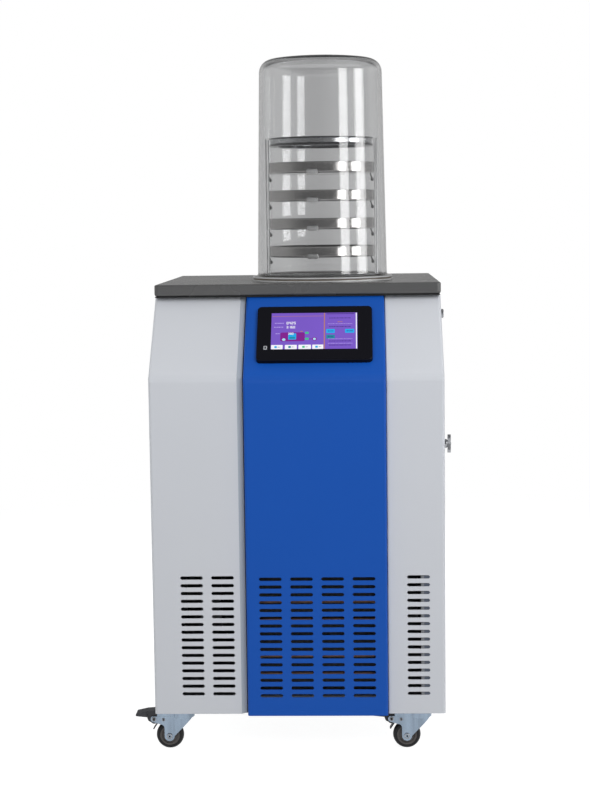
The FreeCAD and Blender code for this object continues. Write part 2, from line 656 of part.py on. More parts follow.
# ---------------------------------------------------------------- cold trap and its lines
def trap_vessel():
    """Steel pot that hangs in the worktop by its flange, with a coned floor and a drain."""
    body = new_body("trap_vessel")
    inner, outer = "size.trap_bore / 2", TRAP_OUTER
    floor = "-size.trap_depth"
    knuckle = "size.trap_corner"
    drain = "(size.drain_tube / 2)"
    outline = [("size.trap_flange / 2", "0"), ("size.trap_flange / 2", "size.flange_thickness"),
               (inner, "size.flange_thickness"),
               (inner, f"{floor} + {knuckle}"), (f"{inner} - {knuckle}", floor),
               (f"{drain} - size.trap_wall", floor),
               (f"{drain} - size.trap_wall", f"{floor} - size.foam / 2"),
               (drain, f"{floor} - size.foam / 2"), (drain, f"{floor} - size.trap_wall"),
               (f"{outer} - {knuckle} - size.trap_wall / 2", f"{floor} - size.trap_wall"),
               (outer, f"{floor} + {knuckle}"), (outer, "0")]
    turn(body, draw(body, "XZ", "0", [outline]))
    vacuum = [("0", "-size.vacuum_drop", "size.vacuum_bore / 2")]
    pocket(body, draw(body, "XZ", "0", vacuum), "size.trap_bore", back=False)
    air = [("0", f"size.air_z - {TABLE}", "size.air_tube / 2 - 1.5")]
    pocket(body, draw(body, "YZ", "0", air), "size.trap_bore", back=True)
    place(body, "size.trap_x", TRAP_Y, TABLE)
    return keep("trap_vessel", body)


def trap_coil():
    """Evaporator: flattened copper tube wound round the cold trap."""
    body = new_body("trap_coil")
    half = "size.coil_tube / 2"
    section = box_path(f"{COIL_RADIUS} - {half}", f"-{half}", f"{COIL_RADIUS} + {half}", half)
    sketch = draw(body, "XZ", "0", [section])
    coil = body.newObject("PartDesign::AdditiveHelix", "trap_coil_helix")
    coil.Profile = sketch
    coil.ReferenceAxis = (sketch, ["V_Axis"])
    coil.Mode = 0
    coil.setExpression("Pitch", "size.coil_pitch")
    coil.setExpression("Height", "size.coil_pitch * size.coil_turns")
    drop = "(size.coil_start + size.coil_pitch * size.coil_turns)"
    place(body, "size.trap_x", TRAP_Y, f"{TABLE} - {drop}")
    return keep("trap_coil", body)


def trap_insulation():
    """Foam jacket round coil and trap, with passages for the lines."""
    body = new_body("trap_insulation")
    floor = "-size.trap_depth"
    roof = "-(size.worktop_thickness + size.gasket_thickness + size.angle_wall + 1)"
    knuckle = "size.foam"
    under = f"{floor} - size.trap_wall - size.foam_gap"
    drain = "(size.drain_tube / 2 + 1)"
    outline = [(FOAM_INNER, roof), (FOAM_INNER, under), (drain, under),
               (drain, f"{FOAM_FLOOR} - {TABLE}"),
               (f"{FOAM_OUTER} - {knuckle}", f"{FOAM_FLOOR} - {TABLE}"),
               (FOAM_OUTER, f"{FOAM_FLOOR} - {TABLE} + {knuckle}"), (FOAM_OUTER, roof)]
    turn(body, draw(body, "XZ", "0", [outline]))
    vacuum = [("0", "-size.vacuum_drop", "size.vacuum_tube / 2 + 1")]
    pocket(body, draw(body, "XZ", "0", vacuum), f"{FOAM_OUTER} + {OVER}", back=False)
    air = [("0", f"size.air_z - {TABLE}", "size.air_tube / 2 + 1")]
    pocket(body, draw(body, "YZ", "0", air), f"{FOAM_OUTER} + {OVER}", back=True)
    top_z = "-size.coil_start"
    low_z = "-(size.coil_start + size.coil_turns * size.coil_pitch)"
    lines = [(COIL_RADIUS, top_z, "size.coil_tube / 2 + 1"),
             (COIL_RADIUS, low_z, "size.coil_tube / 2 + 1")]
    pocket(body, draw(body, "XZ", "0", lines[:1]), f"{FOAM_OUTER} + {OVER}", back=False)
    pocket(body, draw(body, "XZ", "0", lines[1:]), f"{FOAM_OUTER} + {OVER}", back=True)
    place(body, "size.trap_x", TRAP_Y, TABLE)
    return keep("trap_insulation", body)



def vacuum_pipe():
    """Pipe from the trap's wall to its clamp flange behind the rear panel."""
    body = new_body("vacuum_pipe")
    wall, bore = "size.vacuum_tube / 2", "size.vacuum_bore / 2"
    face = f"{REAR} + size.port_reach - ({TRAP_Y})"
    start = f"{TRAP_OUTER} + 0.2"
    rim, seat = "size.port_flange / 2", "size.port_seat / 2"
    taper = f"({rim} - {wall}) * 0.27"
    outline = [(bore, start), (wall, start), (wall, f"{face} - 3 - {taper}"),
               (rim, f"{face} - 3"), (rim, face), (seat, face), (seat, f"{face} - 2.5"),
               (bore, f"{face} - 2.5")]
    turn(body, draw(body, "XY", "0", [outline]))
    place(body, "size.trap_x", TRAP_Y, f"{TABLE} - size.vacuum_drop")
    return keep("vacuum_pipe", body)


def drain_line():
    """Drain tube: down from the trap's floor, then across to the valve."""
    radius, z = mm("size.drain_tube / 2"), mm("size.drain_z")
    x, y = mm("size.trap_x"), mm(TRAP_Y)
    top = mm(f"{TABLE} - size.trap_depth - size.foam / 2") - 0.3
    end = mm(f"{SIDE} - size.valve_inside") - 0.3
    bend = mm(FOAM_FLOOR) - z - 1
    points = [Vector(x, y, top), Vector(x, y, z), Vector(end, y, z)]
    return keep("drain_tube", tube_route("drain_tube", points, radius, [bend]))


def drain_valve_body():
    """Ball valve: body inside the cover, neck through it and a short spout below."""
    body = new_body("drain_valve_body")
    neck, stem = "size.valve_neck / 2", "2.5"
    inside, reach = "-size.valve_inside", "size.valve_reach"
    outline = [("0", inside), (f"{neck} + 3", inside), (f"{neck} + 3", "-size.sheet - 0.3"),
               (neck, "-size.sheet - 0.3"), (neck, f"{reach} - 2"), (f"{neck} - 2", reach),
               (stem, reach), (stem, f"{reach} + size.handle_thickness + 1"),
               ("0", f"{reach} + size.handle_thickness + 1")]
    turn(body, draw(body, "XY", "0", [outline]))
    spout = [("0", "size.valve_reach / 2", "size.spout / 2")]
    pad(body, draw(body, "XY", "0", spout), "size.valve_neck / 2 + size.spout_length", back=True)
    place(body, SIDE, TRAP_Y, "size.drain_z", angle="-90")
    return keep("drain_valve_body", body)


def drain_valve_handle():
    """Two-winged handle on the valve's stem."""
    body = new_body("drain_valve_handle")
    half, wing, waist = "size.handle_span / 2", "size.handle_wing / 2", "size.handle_wing / 2 - 1"
    outline = [(f"-({waist})", "0"), (f"-({wing})", f"-({half} - {wing})", "tangent"),
               (wing, f"-({half} - {wing})"), (waist, "0"),
               (wing, f"{half} - {wing}", "tangent"), (f"-({wing})", f"{half} - {wing}")]
    loops = [outline, ("0", "0", "2.5 + size.running_gap")]
    pad(body, draw(body, "YZ", "0.3", loops), "size.handle_thickness")
    place(body, f"{SIDE} + size.valve_reach", TRAP_Y, "size.drain_z")
    return keep("drain_valve_handle", body)


def air_valve_body():
    """Small needle valve: nut inside the cover, neck and stem outside."""
    body = new_body("air_valve_body")
    neck = "size.air_tube / 2"
    outline = [("0", "-size.valve_inside / 2"), (f"{neck} + 3", "-size.valve_inside / 2"),
               (f"{neck} + 3", "-size.sheet - 0.3"), (neck, "-size.sheet - 0.3"), (neck, "5"),
               ("2.5", "5"), ("2.5", "4.7 + size.knob_length"),
               ("0", "4.7 + size.knob_length")]
    turn(body, draw(body, "XY", "0", [outline]))
    ring = [("0", "0", neck), ("0", "0", f"{neck} - 1")]
    reach = f"{SIDE} - size.trap_x - {TRAP_OUTER} - size.valve_inside / 2 - 0.3"
    pad(body, draw(body, "XZ", "-size.valve_inside / 2", ring), reach)
    place(body, SIDE, TRAP_Y, "size.air_z", angle="-90")
    return keep("air_valve_body", body)


def air_valve_knob():
    """Knob with finger flutes on the air valve's stem."""
    body = new_body("air_valve_knob")
    rim = "size.knob_diameter / 2"
    outline = [("2.5 + size.running_gap", "0"), (f"{rim} - 1", "0"), (rim, "1"),
               (rim, "size.knob_length - 1"), (f"{rim} - 1", "size.knob_length"),
               ("2.5 + size.running_gap", "size.knob_length")]
    turn(body, draw(body, "XZ", "0", [outline]))
    flute = draw(body, "XY", "0", [(rim, "0", "1")])
    first = pocket(body, flute, "3 * size.knob_length", both=True)
    repeat_round(body, first, flute, 8)
    place(body, f"{SIDE} + 5.3", TRAP_Y, "size.air_z", axis=(0, 1, 0), angle="90")
    return keep("air_valve_knob", body)


# ---------------------------------------------------------------- bell jar and rack
def bell_head(wall):
    """Points of the bell's head at a depth of `wall` inside its outer face, from the side up.

    The side meets the dome in a corner arc that is tangent to both.
    """
    shoulder, height, corner = "(size.bell_shoulder / 2)", "size.bell_height", "size.bell_corner"
    dome = f"(({shoulder}^2 + size.dome_rise^2) / (2 * size.dome_rise))"
    across = f"({shoulder} - {corner})"
    drop = f"sqrt(({dome} - {corner})^2 - {across}^2)"
    share = f"({dome} - {wall}) / ({dome} - {corner})"
    centre = f"{height} - {dome}"
    return ((f"{shoulder} - {wall}", f"{centre} + {drop}"),
            (f"{across} * {share}", f"{centre} + {drop} * {share}"),
            ("0", f"{height} - {wall}"), f"{corner} - {wall}", f"{dome} - {wall}")


def bell_jar():
    """Clear bell: flange, slightly tapered wall, rounded shoulder and shallow dome."""
    body = new_body("bell_jar")
    foot, rim, wall = "size.bell_base / 2", "size.bell_flange / 2", "size.bell_wall"
    side, spring, top, corner, dome = bell_head("0")
    inner_side, inner_spring, inner_top, inner_corner, inner_dome = bell_head(wall)
    outline = [(f"{foot} - {wall}", "0"), (rim, "0"), (rim, "size.bell_flange_thickness"),
               (foot, "size.bell_flange_thickness"), (*side, corner, 1), (*spring, dome, 1), top,
               (*inner_top, inner_dome, -1), (*inner_spring, inner_corner, -1), inner_side]
    turn(body, draw(body, "XZ", "0", [outline]))
    place(body, "size.trap_x", TRAP_Y, BELL_FOOT)
    return keep("bell_jar", body)


def bell_seal():
    """Flat rubber ring between the bell's flange and the steel flange."""
    outer = cylinder("seal_outer", "size.bell_flange / 2 - 2", "size.seal_thickness",
                     "size.trap_x", TRAP_Y, SEAT)
    hole = cylinder("seal_hole", "size.bell_base / 2 - size.bell_wall",
                    f"size.seal_thickness + 2 * {OVER}", "size.trap_x", TRAP_Y,
                    f"{SEAT} - {OVER}")
    return keep("bell_seal", cut("bell_seal_cut", outer, hole))


ROD_ANGLES = (10, 170, 190, 350)
"""Where the rack's rods stand round its centre: two on each side, open at the front."""


def tray_rack():
    """Welded rack: foot ring, four rods and a bracket under each tray on each rod."""
    body = new_body("tray_rack")
    ring = [("0", "0", "size.ring_outer / 2"), ("0", "0", "size.ring_inner / 2")]
    pad(body, draw(body, "XY", "0", [*ring]), "size.ring_thickness")
    reach, rods = "size.rod_circle / 2", []
    for angle in ROD_ANGLES:
        rods.append((f"{reach} * cos({angle})", f"{reach} * sin({angle})", "size.rod / 2"))
    tall = "size.cap_bottom + size.cap_height - size.flange_thickness - 1"
    pad(body, draw(body, "XY", "0", rods), tall)
    levels = [f"size.first_tray + {step} * size.tray_pitch" for step in range(4)]
    levels.append("size.cap_bottom")
    tray = "(size.tray_diameter / 2)"
    for angle in ROD_ANGLES:
        brackets = []
        for level in levels:
            top = f"{level} - size.flange_thickness - 0.2"
            brackets.append([(f"{reach}", top), (f"{tray} - 4", top),
                             (f"{tray} - 6", f"{top} - 9"), (f"{reach}", f"{top} - 14")])
        sketch = draw(body, "XZ", "0", brackets)
        sketch.AttachmentOffset = Placement(Vector(), Rotation(Vector(0, 1, 0), angle))
        pad(body, sketch, "size.bracket", both=True)
    place(body, "size.trap_x", TRAP_Y, SEAT)
    return keep("tray_rack", body)


def rack_cap():
    """Cover plate of the rack: a disc with a grooved edge."""
    body = new_body("rack_top_plate")
    rim, tall = "size.cap_diameter / 2", "size.cap_height"
    outline = [("0", f"{tall} - 3"), (f"{rim} - 6", f"{tall} - 3"), (f"{rim} - 4", "1.5"),
               (f"{rim} - 16", "1.5"), (f"{rim} - 16", "0"), (f"{rim} - 1", "0"),
               (f"{rim} - 1", "4"), (f"{rim} - 2.5", "5"), (f"{rim} - 2.5", f"{tall} - 4"),
               (rim, f"{tall} - 2"), (rim, tall), ("0", tall)]
    turn(body, draw(body, "XZ", "0", [outline]))
    place(body, "size.trap_x", TRAP_Y, f"{TABLE} + size.cap_bottom")
    return keep("rack_top_plate", body)


def tray(number):
    """Pressed round tray with a rolled rim and a pull tab low on its front."""
    node = f"tray_{number}"
    body = new_body(node)
    outer, wall, tall, ease = "size.tray_diameter / 2", "size.tray_wall", "size.tray_height", "2.5"
    outline = [("0", "0"), (f"{outer} - {ease}", "0"), (outer, ease), (outer, tall),
               (f"{outer} - {wall}", tall), (f"{outer} - {wall}", ease),
               (f"{outer} - {ease}", wall), ("0", wall)]
    turn(body, draw(body, "XZ", "0", [outline]))
    half = "size.tab_width / 2"
    low, high = "-size.tab_drop", "size.tab_height - size.tab_drop"
    tab = [(f"-{half} + {ease}", low), (f"{half} - {ease}", low), (half, f"{low} + {ease}"),
           (f"{half} - 2", high), (f"-{half} + 2", high), (f"-{half}", f"{low} + {ease}")]
    sketch = draw(body, "XZ", f"-({outer} + 1.2)", [tab])
    pad(body, sketch, "2.4", back=True)
    place(body, "size.trap_x", TRAP_Y,
          f"{TABLE} + size.first_tray + {number - 1} * size.tray_pitch", angle="-size.tab_turn")
    return keep(node, body)


# ---------------------------------------------------------------- display
def on_slope(body):
    """Place a piece with its own z = 0 on the blue panel's slope and its y up the slope."""
    return place(body, "0", PANEL_FRONT, KINK, axis=(1, 0, 0), angle=SLOPE_ANGLE)


def display_bezel():
    """Display housing: proud frame outside the panel and a box behind it."""
    body = new_body("display_bezel")
    low_x = "size.bezel_centre - size.bezel_width / 2"
    high_x = "size.bezel_centre + size.bezel_width / 2"
    low_y, high_y = "size.bezel_climb", "size.bezel_climb + size.bezel_height"
    pad(body, draw(body, "XY", "0.05", [box_path(low_x, low_y, high_x, high_y)]),
        "size.bezel_proud - 0.05")
    uprights = [lie_at(x=x, y=y) for x in (low_x, high_x) for y in (low_y, high_y)]
    dress(body, "Fillet", "size.bezel_corner", *uprights)
    dress(body, "Fillet", "2.5", lie_at(z="size.bezel_proud"))
    pad(body, draw(body, "XY", "0.05", [housing_opening("0")]), "size.housing_depth", back=True)
    screen = [box_path(*screen_corners("0.2"))]
    depth = "size.screen_thickness + size.screen_recess"
    pocket(body, draw(body, "XY", "size.bezel_proud", screen), depth)
    light = [("size.light_x", "size.light_climb", "size.light_diameter / 2 + 0.1")]
    pocket(body, draw(body, "XY", "size.bezel_proud", light), "3")
    on_slope(body)
    return keep("display_bezel", body)


def screen_corners(gap):
    """Low and high corners of the screen, larger all round by a gap."""
    return (f"size.screen_x - size.screen_width / 2 - {gap}", f"size.screen_climb - {gap}",
            f"size.screen_x + size.screen_width / 2 + {gap}",
            f"size.screen_climb + size.screen_height + {gap}")


def display_screen():
    """Touch screen in the bezel's recess."""
    body = new_body("display_screen")
    sketch = draw(body, "XY", "size.bezel_proud - size.screen_recess", [box_path(*screen_corners("0"))])
    pad(body, sketch, "size.screen_thickness", back=True)
    on_slope(body)
    return keep("display_screen", body)


def status_light():
    """Small round light at the bezel's lower left."""
    body = new_body("status_light")
    loop = [("size.light_x", "size.light_climb", "size.light_diameter / 2")]
    pad(body, draw(body, "XY", "size.bezel_proud - 3", loop), "3.3")
    on_slope(body)
    return keep("status_light", body)


# ---------------------------------------------------------------- refrigeration
def condenser_fins():
    """Finned block behind the front vents, with a groove for each row of tube."""
    body = new_body("condenser_fins")
    half = "size.condenser_width / 2"
    low, high = PAN_TOP, f"{PAN_TOP} + size.condenser_height"
    outline = box_path(f"size.panel_centre - {half}", low, f"size.panel_centre + {half}", high)
    pad(body, draw(body, "XZ", CONDENSER_Y, [outline]), "size.condenser_depth", back=True)
    return keep("condenser_fins", body)


def row_height(row):
    """Height of one straight run of the condenser's tube."""
    return f"{PAN_TOP} + size.line_tube / 2 + 2 + {row} * size.row_pitch"


def condenser_tube():
    """Serpentine copper tube across the front of the fins."""
    radius, half = mm("size.line_tube / 2"), mm("size.condenser_width / 2 - size.row_pitch / 2")
    centre, y = mm("size.panel_centre"), mm(f"{CONDENSER_Y} - size.line_tube / 2 - 0.3")
    bend, count = mm("size.row_pitch / 2") - 0.01, int(mm("size.row_count"))
    points, side = [], 1
    for row in range(count):
        z = mm(row_height(row))
        reach = half + bend
        points += [Vector(centre - side * reach, y, z), Vector(centre + side * reach, y, z)]
        side = -side
    bends = [bend] * (len(points) - 2)
    return keep("condenser_tube", tube_route("condenser_tube", points, radius, bends))


def fan_shroud():
    """Sheet behind the fins with a rolled ring round the fan."""
    body = new_body("fan_shroud")
    half, ring = "size.condenser_width / 2", "(size.fan_diameter / 2 + 5)"
    plate = box_path(f"size.panel_centre - {half}", PAN_TOP, f"size.panel_centre + {half}",
                     f"{PAN_TOP} + size.condenser_height")
    hole = ("size.panel_centre", FAN_Z, ring)
    pad(body, draw(body, "XZ", CONDENSER_BACK, [plate, hole]), "size.shroud_sheet", back=True)
    lip = [hole, ("size.panel_centre", FAN_Z, f"{ring} + size.shroud_sheet")]
    pad(body, draw(body, "XZ", CONDENSER_BACK, lip),
        "size.shroud_lip + size.shroud_sheet", back=True)
    return keep("fan_shroud", body)


def fan_motor():
    """Fan motor on its foot, with the shaft that carries the rotor."""
    body = new_body("fan_motor")
    back = f"({FAN_Y} + size.fan_width / 2 + 2)"
    axis = ("size.panel_centre", FAN_Z)
    pad(body, draw(body, "XZ", back, [(*axis, "size.motor_diameter / 2")]),
        "size.motor_length", back=True)
    reach = f"{back} - ({FAN_Y} - size.fan_width / 2)"
    pad(body, draw(body, "XZ", f"{back} + 1", [(*axis, "size.fan_shaft / 2")]), f"{reach} + 1")
    foot = box_path("size.panel_centre - size.motor_diameter / 2", PAN_TOP,
                    "size.panel_centre + size.motor_diameter / 2", FAN_Z)
    pad(body, draw(body, "XZ", f"{back} + size.motor_length / 3", [foot]), "4", back=True)
    base = box_path("size.panel_centre - size.motor_diameter / 2",
                    f"{back}", "size.panel_centre + size.motor_diameter / 2",
                    f"{back} + size.motor_length")
    pad(body, draw(body, "XY", PAN_TOP, [base]), "3")
    return keep("fan_motor", body)


def fan_rotor():
    """Five pitched blades on a hub."""
    body = new_body("fan_rotor")
    hub, bore = "size.fan_hub / 2", "size.fan_shaft / 2 + size.running_gap"
    pad(body, draw(body, "XZ", "0", [("0", "0", hub), ("0", "0", bore)]),
        "size.fan_width", both=True)
    root, tip = f"{hub} - 3", "size.fan_diameter / 2 - 1"
    blade = blade_section(body, root, "34", "18")
    outer = blade_section(body, tip, "78", "8")
    loft = body.newObject("PartDesign::AdditiveLoft", "fan_rotor_blade")
    loft.Profile = blade
    loft.Sections = [outer]
    ring = draw(body, "XZ", "0", [("0", "0", "1")])
    repeat_round(body, loft, ring, 5)
    sweep = [("0", "0", "size.fan_diameter"), ("0", "0", "size.fan_diameter / 2")]
    pocket(body, draw(body, "XZ", "0", sweep), "3 * size.fan_width", both=True)
    place(body, "size.panel_centre", FAN_Y, FAN_Z, angle="0")
    return keep("fan_rotor", body)


def blade_section(body, radius, chord, depth):
    """Section of a fan blade at a radius: a thin slanted bar."""
    half, lean, thick = f"({chord}) / 2", f"({depth}) / 2", "0.8"
    path = [(f"-{half}", f"-{lean} - {thick}"), (half, f"{lean} - {thick}"),
            (half, f"{lean} + {thick}"), (f"-{half}", f"-{lean} + {thick}")]
    return draw(body, "XY", radius, [path])


def compressor():
    """Hermetic compressor: welded can on its foot plate."""
    body = new_body("compressor")
    can, tall, knuckle = "size.can_diameter / 2", "size.can_height", "28"
    outline = [("0", "6"), (f"{can} - {knuckle}", "6"), (can, f"6 + {knuckle}"),
               (can, f"{tall} * 0.5"), (f"{can} + 3", f"{tall} * 0.5"),
               (f"{can} + 3", f"{tall} * 0.5 + 6"), (can, f"{tall} * 0.5 + 6"),
               (can, f"{tall} - {knuckle}", knuckle, 1), (f"{can} - {knuckle}", tall),
               ("0", tall)]
    turn(body, draw(body, "XZ", "0", [outline]))
    half_x, half_y = f"{can} + 12", f"{can} - 8"
    plate = box_path(f"-({half_x})", f"-({half_y})", half_x, half_y)
    pad(body, draw(body, "XY", "6", [plate]), "3")
    feet = [(f"{sx} * ({half_x} - 9)", f"{sy} * ({half_y} - 9)", "8")
            for sx in (-1, 1) for sy in (-1, 1)]
    pad(body, draw(body, "XY", "0", feet), "7")
    place(body, "size.can_x", CAN_Y, PAN_TOP)
    return keep("compressor", body)


def line_places():
    """Coordinates that the three refrigerant lines share."""
    half = mm("size.condenser_width / 2")
    return {
        "radius": mm("size.line_tube / 2"), "bend": 2 * mm("size.line_tube"),
        "can_x": mm("size.can_x"), "can_y": mm(CAN_Y), "can": mm("size.can_diameter / 2"),
        "front": mm(f"{CONDENSER_Y} - size.line_tube / 2 - 0.3"),
        "edge": mm("size.panel_centre") - half - 0.3,
        "first": mm(row_height(0)), "last": mm(row_height("(size.row_count - 1)")),
        "coil_x": mm(f"size.trap_x + {COIL_RADIUS}"), "trap_y": mm(TRAP_Y),
        "foam": mm(FOAM_OUTER),
        "coil_top": mm(f"{TABLE} - size.coil_start"),
        "coil_low": mm(f"{TABLE} - size.coil_start - size.coil_turns * size.coil_pitch"),
    }


def discharge_line():
    """Hot gas line from the compressor's front to the condenser's top row."""
    at = line_places()
    z = mm(f"{PAN_TOP} + size.can_height * 0.35")
    points = [Vector(at["can_x"], at["can_y"] - at["can"] - 0.3, z),
              Vector(at["can_x"], at["front"], z),
              Vector(at["can_x"], at["front"], at["last"]),
              Vector(at["edge"], at["front"], at["last"])]
    bends = [at["bend"], min(at["bend"], at["edge"] - at["can_x"] - 1)]
    return keep("discharge_line", tube_route("discharge_line", points, at["radius"], bends))


def liquid_line():
    """Liquid line from the condenser's bottom row, through the drier, to the coil's foot."""
    at = line_places()
    x, y = at["can_x"] - 20, at["trap_y"] - at["foam"] - 20
    points = [Vector(at["edge"], at["front"], at["first"]), Vector(x, at["front"], at["first"]),
              Vector(x, y, at["first"]), Vector(x, y, at["coil_low"]),
              Vector(at["coil_x"], y, at["coil_low"]),
              Vector(at["coil_x"], at["trap_y"] - 0.6, at["coil_low"])]
    tube = tube_route("liquid_tube", points, at["radius"], [at["bend"]] * 4)
    drier = cylinder("liquid_drier", "size.drier_diameter / 2", "size.drier_length", x, y,
                     f"{PAN_TOP} + size.can_height")
    return keep("liquid_line", fuse("liquid_line_fuse", tube, drier))


def suction_line():
    """Cold gas line from the coil's head down to the compressor's side."""
    at = line_places()
    z = mm(f"{PAN_TOP} + size.can_height * 0.72")
    points = [Vector(at["coil_x"], at["trap_y"] + 0.6, at["coil_top"]),
              Vector(at["coil_x"], at["can_y"], at["coil_top"]),
              Vector(at["coil_x"], at["can_y"], z),
              Vector(at["can_x"] + at["can"] + 0.3, at["can_y"], z)]
    return keep("suction_line", tube_route("suction_line", points, at["radius"],
                                           [at["bend"]] * 2))


# ---------------------------------------------------------------- power inlet
ROCKER_LOW = "(size.inlet_height / 2 - size.rocker_height - 9)"
"""Height of the rocker's lower end over the middle of the inlet."""


def power_inlet():
    """Inlet socket with its three pins, and the frame of the rocker switch above it."""
    body = new_body("power_inlet")
    half_x, half_z = "size.inlet_width / 2", "size.inlet_height / 2"
    pad(body, draw(body, "XZ", "0", [box_path(f"-({half_x})", f"-({half_z})", half_x, half_z)]),
        "2.5")
    back = box_path(f"-({half_x} - 4)", f"-({half_z} - 4)", f"{half_x} - 4", f"{half_z} - 4")
    pad(body, draw(body, "XZ", "0", [back]), "26", back=True)
    socket = [("-12", f"-({half_z} - 8)"), ("12", f"-({half_z} - 8)"),
              ("12", f"-({half_z} - 19)"), ("7", f"-({half_z} - 26)"),
              ("-7", f"-({half_z} - 26)"), ("-12", f"-({half_z} - 19)")]
    pocket(body, draw(body, "XZ", "-2.5", [socket]), "20")
    pins = [box_path(f"{x} - 1", f"-({half_z} - {z})", f"{x} + 1", f"-({half_z} - {z} - 4)")
            for x, z in ((-7, 12), (0, 18), (7, 12))]
    pad(body, draw(body, "XZ", "18", pins), "16")
    well = box_path("-(size.rocker_width / 2 + 0.4)", ROCKER_LOW + " - 0.4",
                    "size.rocker_width / 2 + 0.4", f"{ROCKER_LOW} + size.rocker_height + 0.4")
    pocket(body, draw(body, "XZ", "-2.5", [well]), "12")
    place(body, "size.inlet_x", REAR, "size.inlet_z", axis=(0, 0, 1), angle="180")
    return keep("power_inlet", body)


def rocker_switch():
    """Rocker: two faces that meet in a shallow valley, with trunnions kept inside the frame."""
    body = new_body("rocker_switch")
    half = "size.rocker_height / 2"
    outline = [(f"-({half})", "3.4"), ("0", "1.4"), (half, "3.4"), (half, "-1"), ("3", "-5"),
               ("-3", "-5"), (f"-({half})", "-1")]
    pad(body, draw(body, "YZ", "0", [outline]), "size.rocker_width", both=True)
    z = f"size.inlet_z + {ROCKER_LOW} + {half}"
    body.Placement = Placement(Vector(), Rotation(Vector(1, 0, 0), -90 - mm("size.rocker_tilt")))
    body.setExpression("Placement.Base.x", "size.inlet_x")
    body.setExpression("Placement.Base.y", f"{REAR} + 0.5")
    body.setExpression("Placement.Base.z", z)
    return keep("rocker_switch", body)


# ---------------------------------------------------------------- casters
CASTERS = {"front_left": (-1, KING_FRONT), "front_right": (1, KING_FRONT),
           "rear_left": (-1, KING_REAR), "rear_right": (1, KING_REAR)}
AXLE_Z = "(size.wheel_diameter / 2)"
FORK_TOP = "(size.caster_height - size.fork_top)"
PEDAL_Z = "(size.caster_height - size.pedal_drop)"


RACE_DROP = "(size.plate_thickness + 6)"
"""How far below the cabinet's underside the upper race reaches."""


def caster_plates():
    """Mounting plate, upper race and kingpin of each of the four casters."""
    body = new_body("caster_plates")
    half = "size.plate_size / 2"
    plates, races, pins, heads = [], [], [], []
    for side, king_y in CASTERS.values():
        x, y = f"{side} * {KING_X}", king_y
        plates.append(box_path(f"{x} - {half}", f"{y} - {half}", f"{x} + {half}", f"{y} + {half}"))
        races.append((x, y, "size.race_diameter / 2 - 1"))
        pins.append((x, y, "size.kingpin / 2"))
        heads.append((x, y, "size.kingpin / 2 + 3"))
    sketch = draw(body, "XY", BASE, plates)
    pad(body, sketch, "size.plate_thickness", back=True)
    pad(body, draw(body, "XY", BASE, races), RACE_DROP, back=True)
    under = f"{FORK_TOP} - size.fork_sheet - size.swivel_gap"
    pad(body, draw(body, "XY", BASE, pins), f"{BASE} - ({under}) + 0.5", back=True)
    pad(body, draw(body, "XY", under, heads), "3", back=True)
    return keep("caster_plates", body)


def fork_outline(braked):
    """Side outline of a fork: flat top, slanted nose edge, rounded leg and, if braked, a lug."""
    leg, lug, axle, pivot = "9", "6", "-size.trail", "-size.pedal_x"
    throat = f"{axle} - {leg}"
    outline = [("size.fork_nose", FORK_TOP), ("size.fork_nose", f"{FORK_TOP} - 2"),
               (f"{axle} + {leg}", AXLE_Z, leg, -1), (axle, f"{AXLE_Z} - {leg}", leg, -1),
               (throat, AXLE_Z)]
    if not braked:
        return outline + [(throat, FORK_TOP)]
    return outline + [(throat, f"{FORK_TOP} - 22", "7", 1), (f"{throat} - 7", f"{FORK_TOP} - 15"),
                      (pivot, f"{PEDAL_Z} - {lug}", lug, -1), (f"{pivot} - {lug}", PEDAL_Z, lug, -1),
                      (pivot, f"{PEDAL_Z} + {lug}"), (f"{pivot} + 6", FORK_TOP)]


def caster_fork(name, braked):
    """Pressed fork: round-nosed channel cut to its side outline, with a swivel race on top."""
    side, king_y = CASTERS[name]
    body = new_body(f"fork_{name}")
    half, sheet = "size.fork_width / 2", "size.fork_sheet"
    nose, tail = "size.fork_nose", "-(size.pedal_x + 12)"
    plan = [(tail, f"-({half})"), (f"{nose} - {half}", f"-({half})", "tangent"),
            (f"{nose} - {half}", half), (tail, half)]
    pad(body, draw(body, "XY", "0", [plan]), FORK_TOP)
    inner = f"({half} - {sheet})"
    hollow = [(f"{tail} - {OVER}", f"-{inner}"), (f"{nose} - {half}", f"-{inner}", "tangent"),
              (f"{nose} - {half}", inner), (f"{tail} - {OVER}", inner)]
    under = f"{FORK_TOP} - {sheet}"
    pocket(body, draw(body, "XY", under, [hollow]), f"{under} + {OVER}")
    window = box_path(f"{tail} - {OVER}", f"-{inner}", "-size.race_diameter / 2 - 12", inner)
    pocket(body, draw(body, "XY", FORK_TOP, [window]), f"3 * {sheet}")
    around = box_path(f"{tail} - {OVER}", f"-{OVER}", f"{nose} + {OVER}", f"{FORK_TOP} + {OVER}")
    trim = draw(body, "XZ", "0", [around, fork_outline(braked)])
    pocket(body, trim, f"size.fork_width + 2 * {OVER}", both=True)
    race = draw(body, "XY", under, [("0", "0", "size.race_diameter / 2")])
    pad(body, race, f"size.caster_height - {RACE_DROP} - size.swivel_gap - ({under})")
    pin = draw(body, "XY", "0", [("0", "0", "size.kingpin / 2 + size.running_gap")])
    pocket(body, pin, "2 * size.caster_height", both=True)
    axle = [("-size.trail", AXLE_Z, "size.axle / 2 + 0.1")]
    if braked:
        axle.append(("-size.pedal_x", PEDAL_Z, "size.pin / 2 + size.running_gap"))
    pocket(body, draw(body, "XZ", "0", axle), "2 * size.fork_width", both=True)
    place(body, f"{side} * {KING_X}", king_y, "0")
    return keep(body.Name, body)


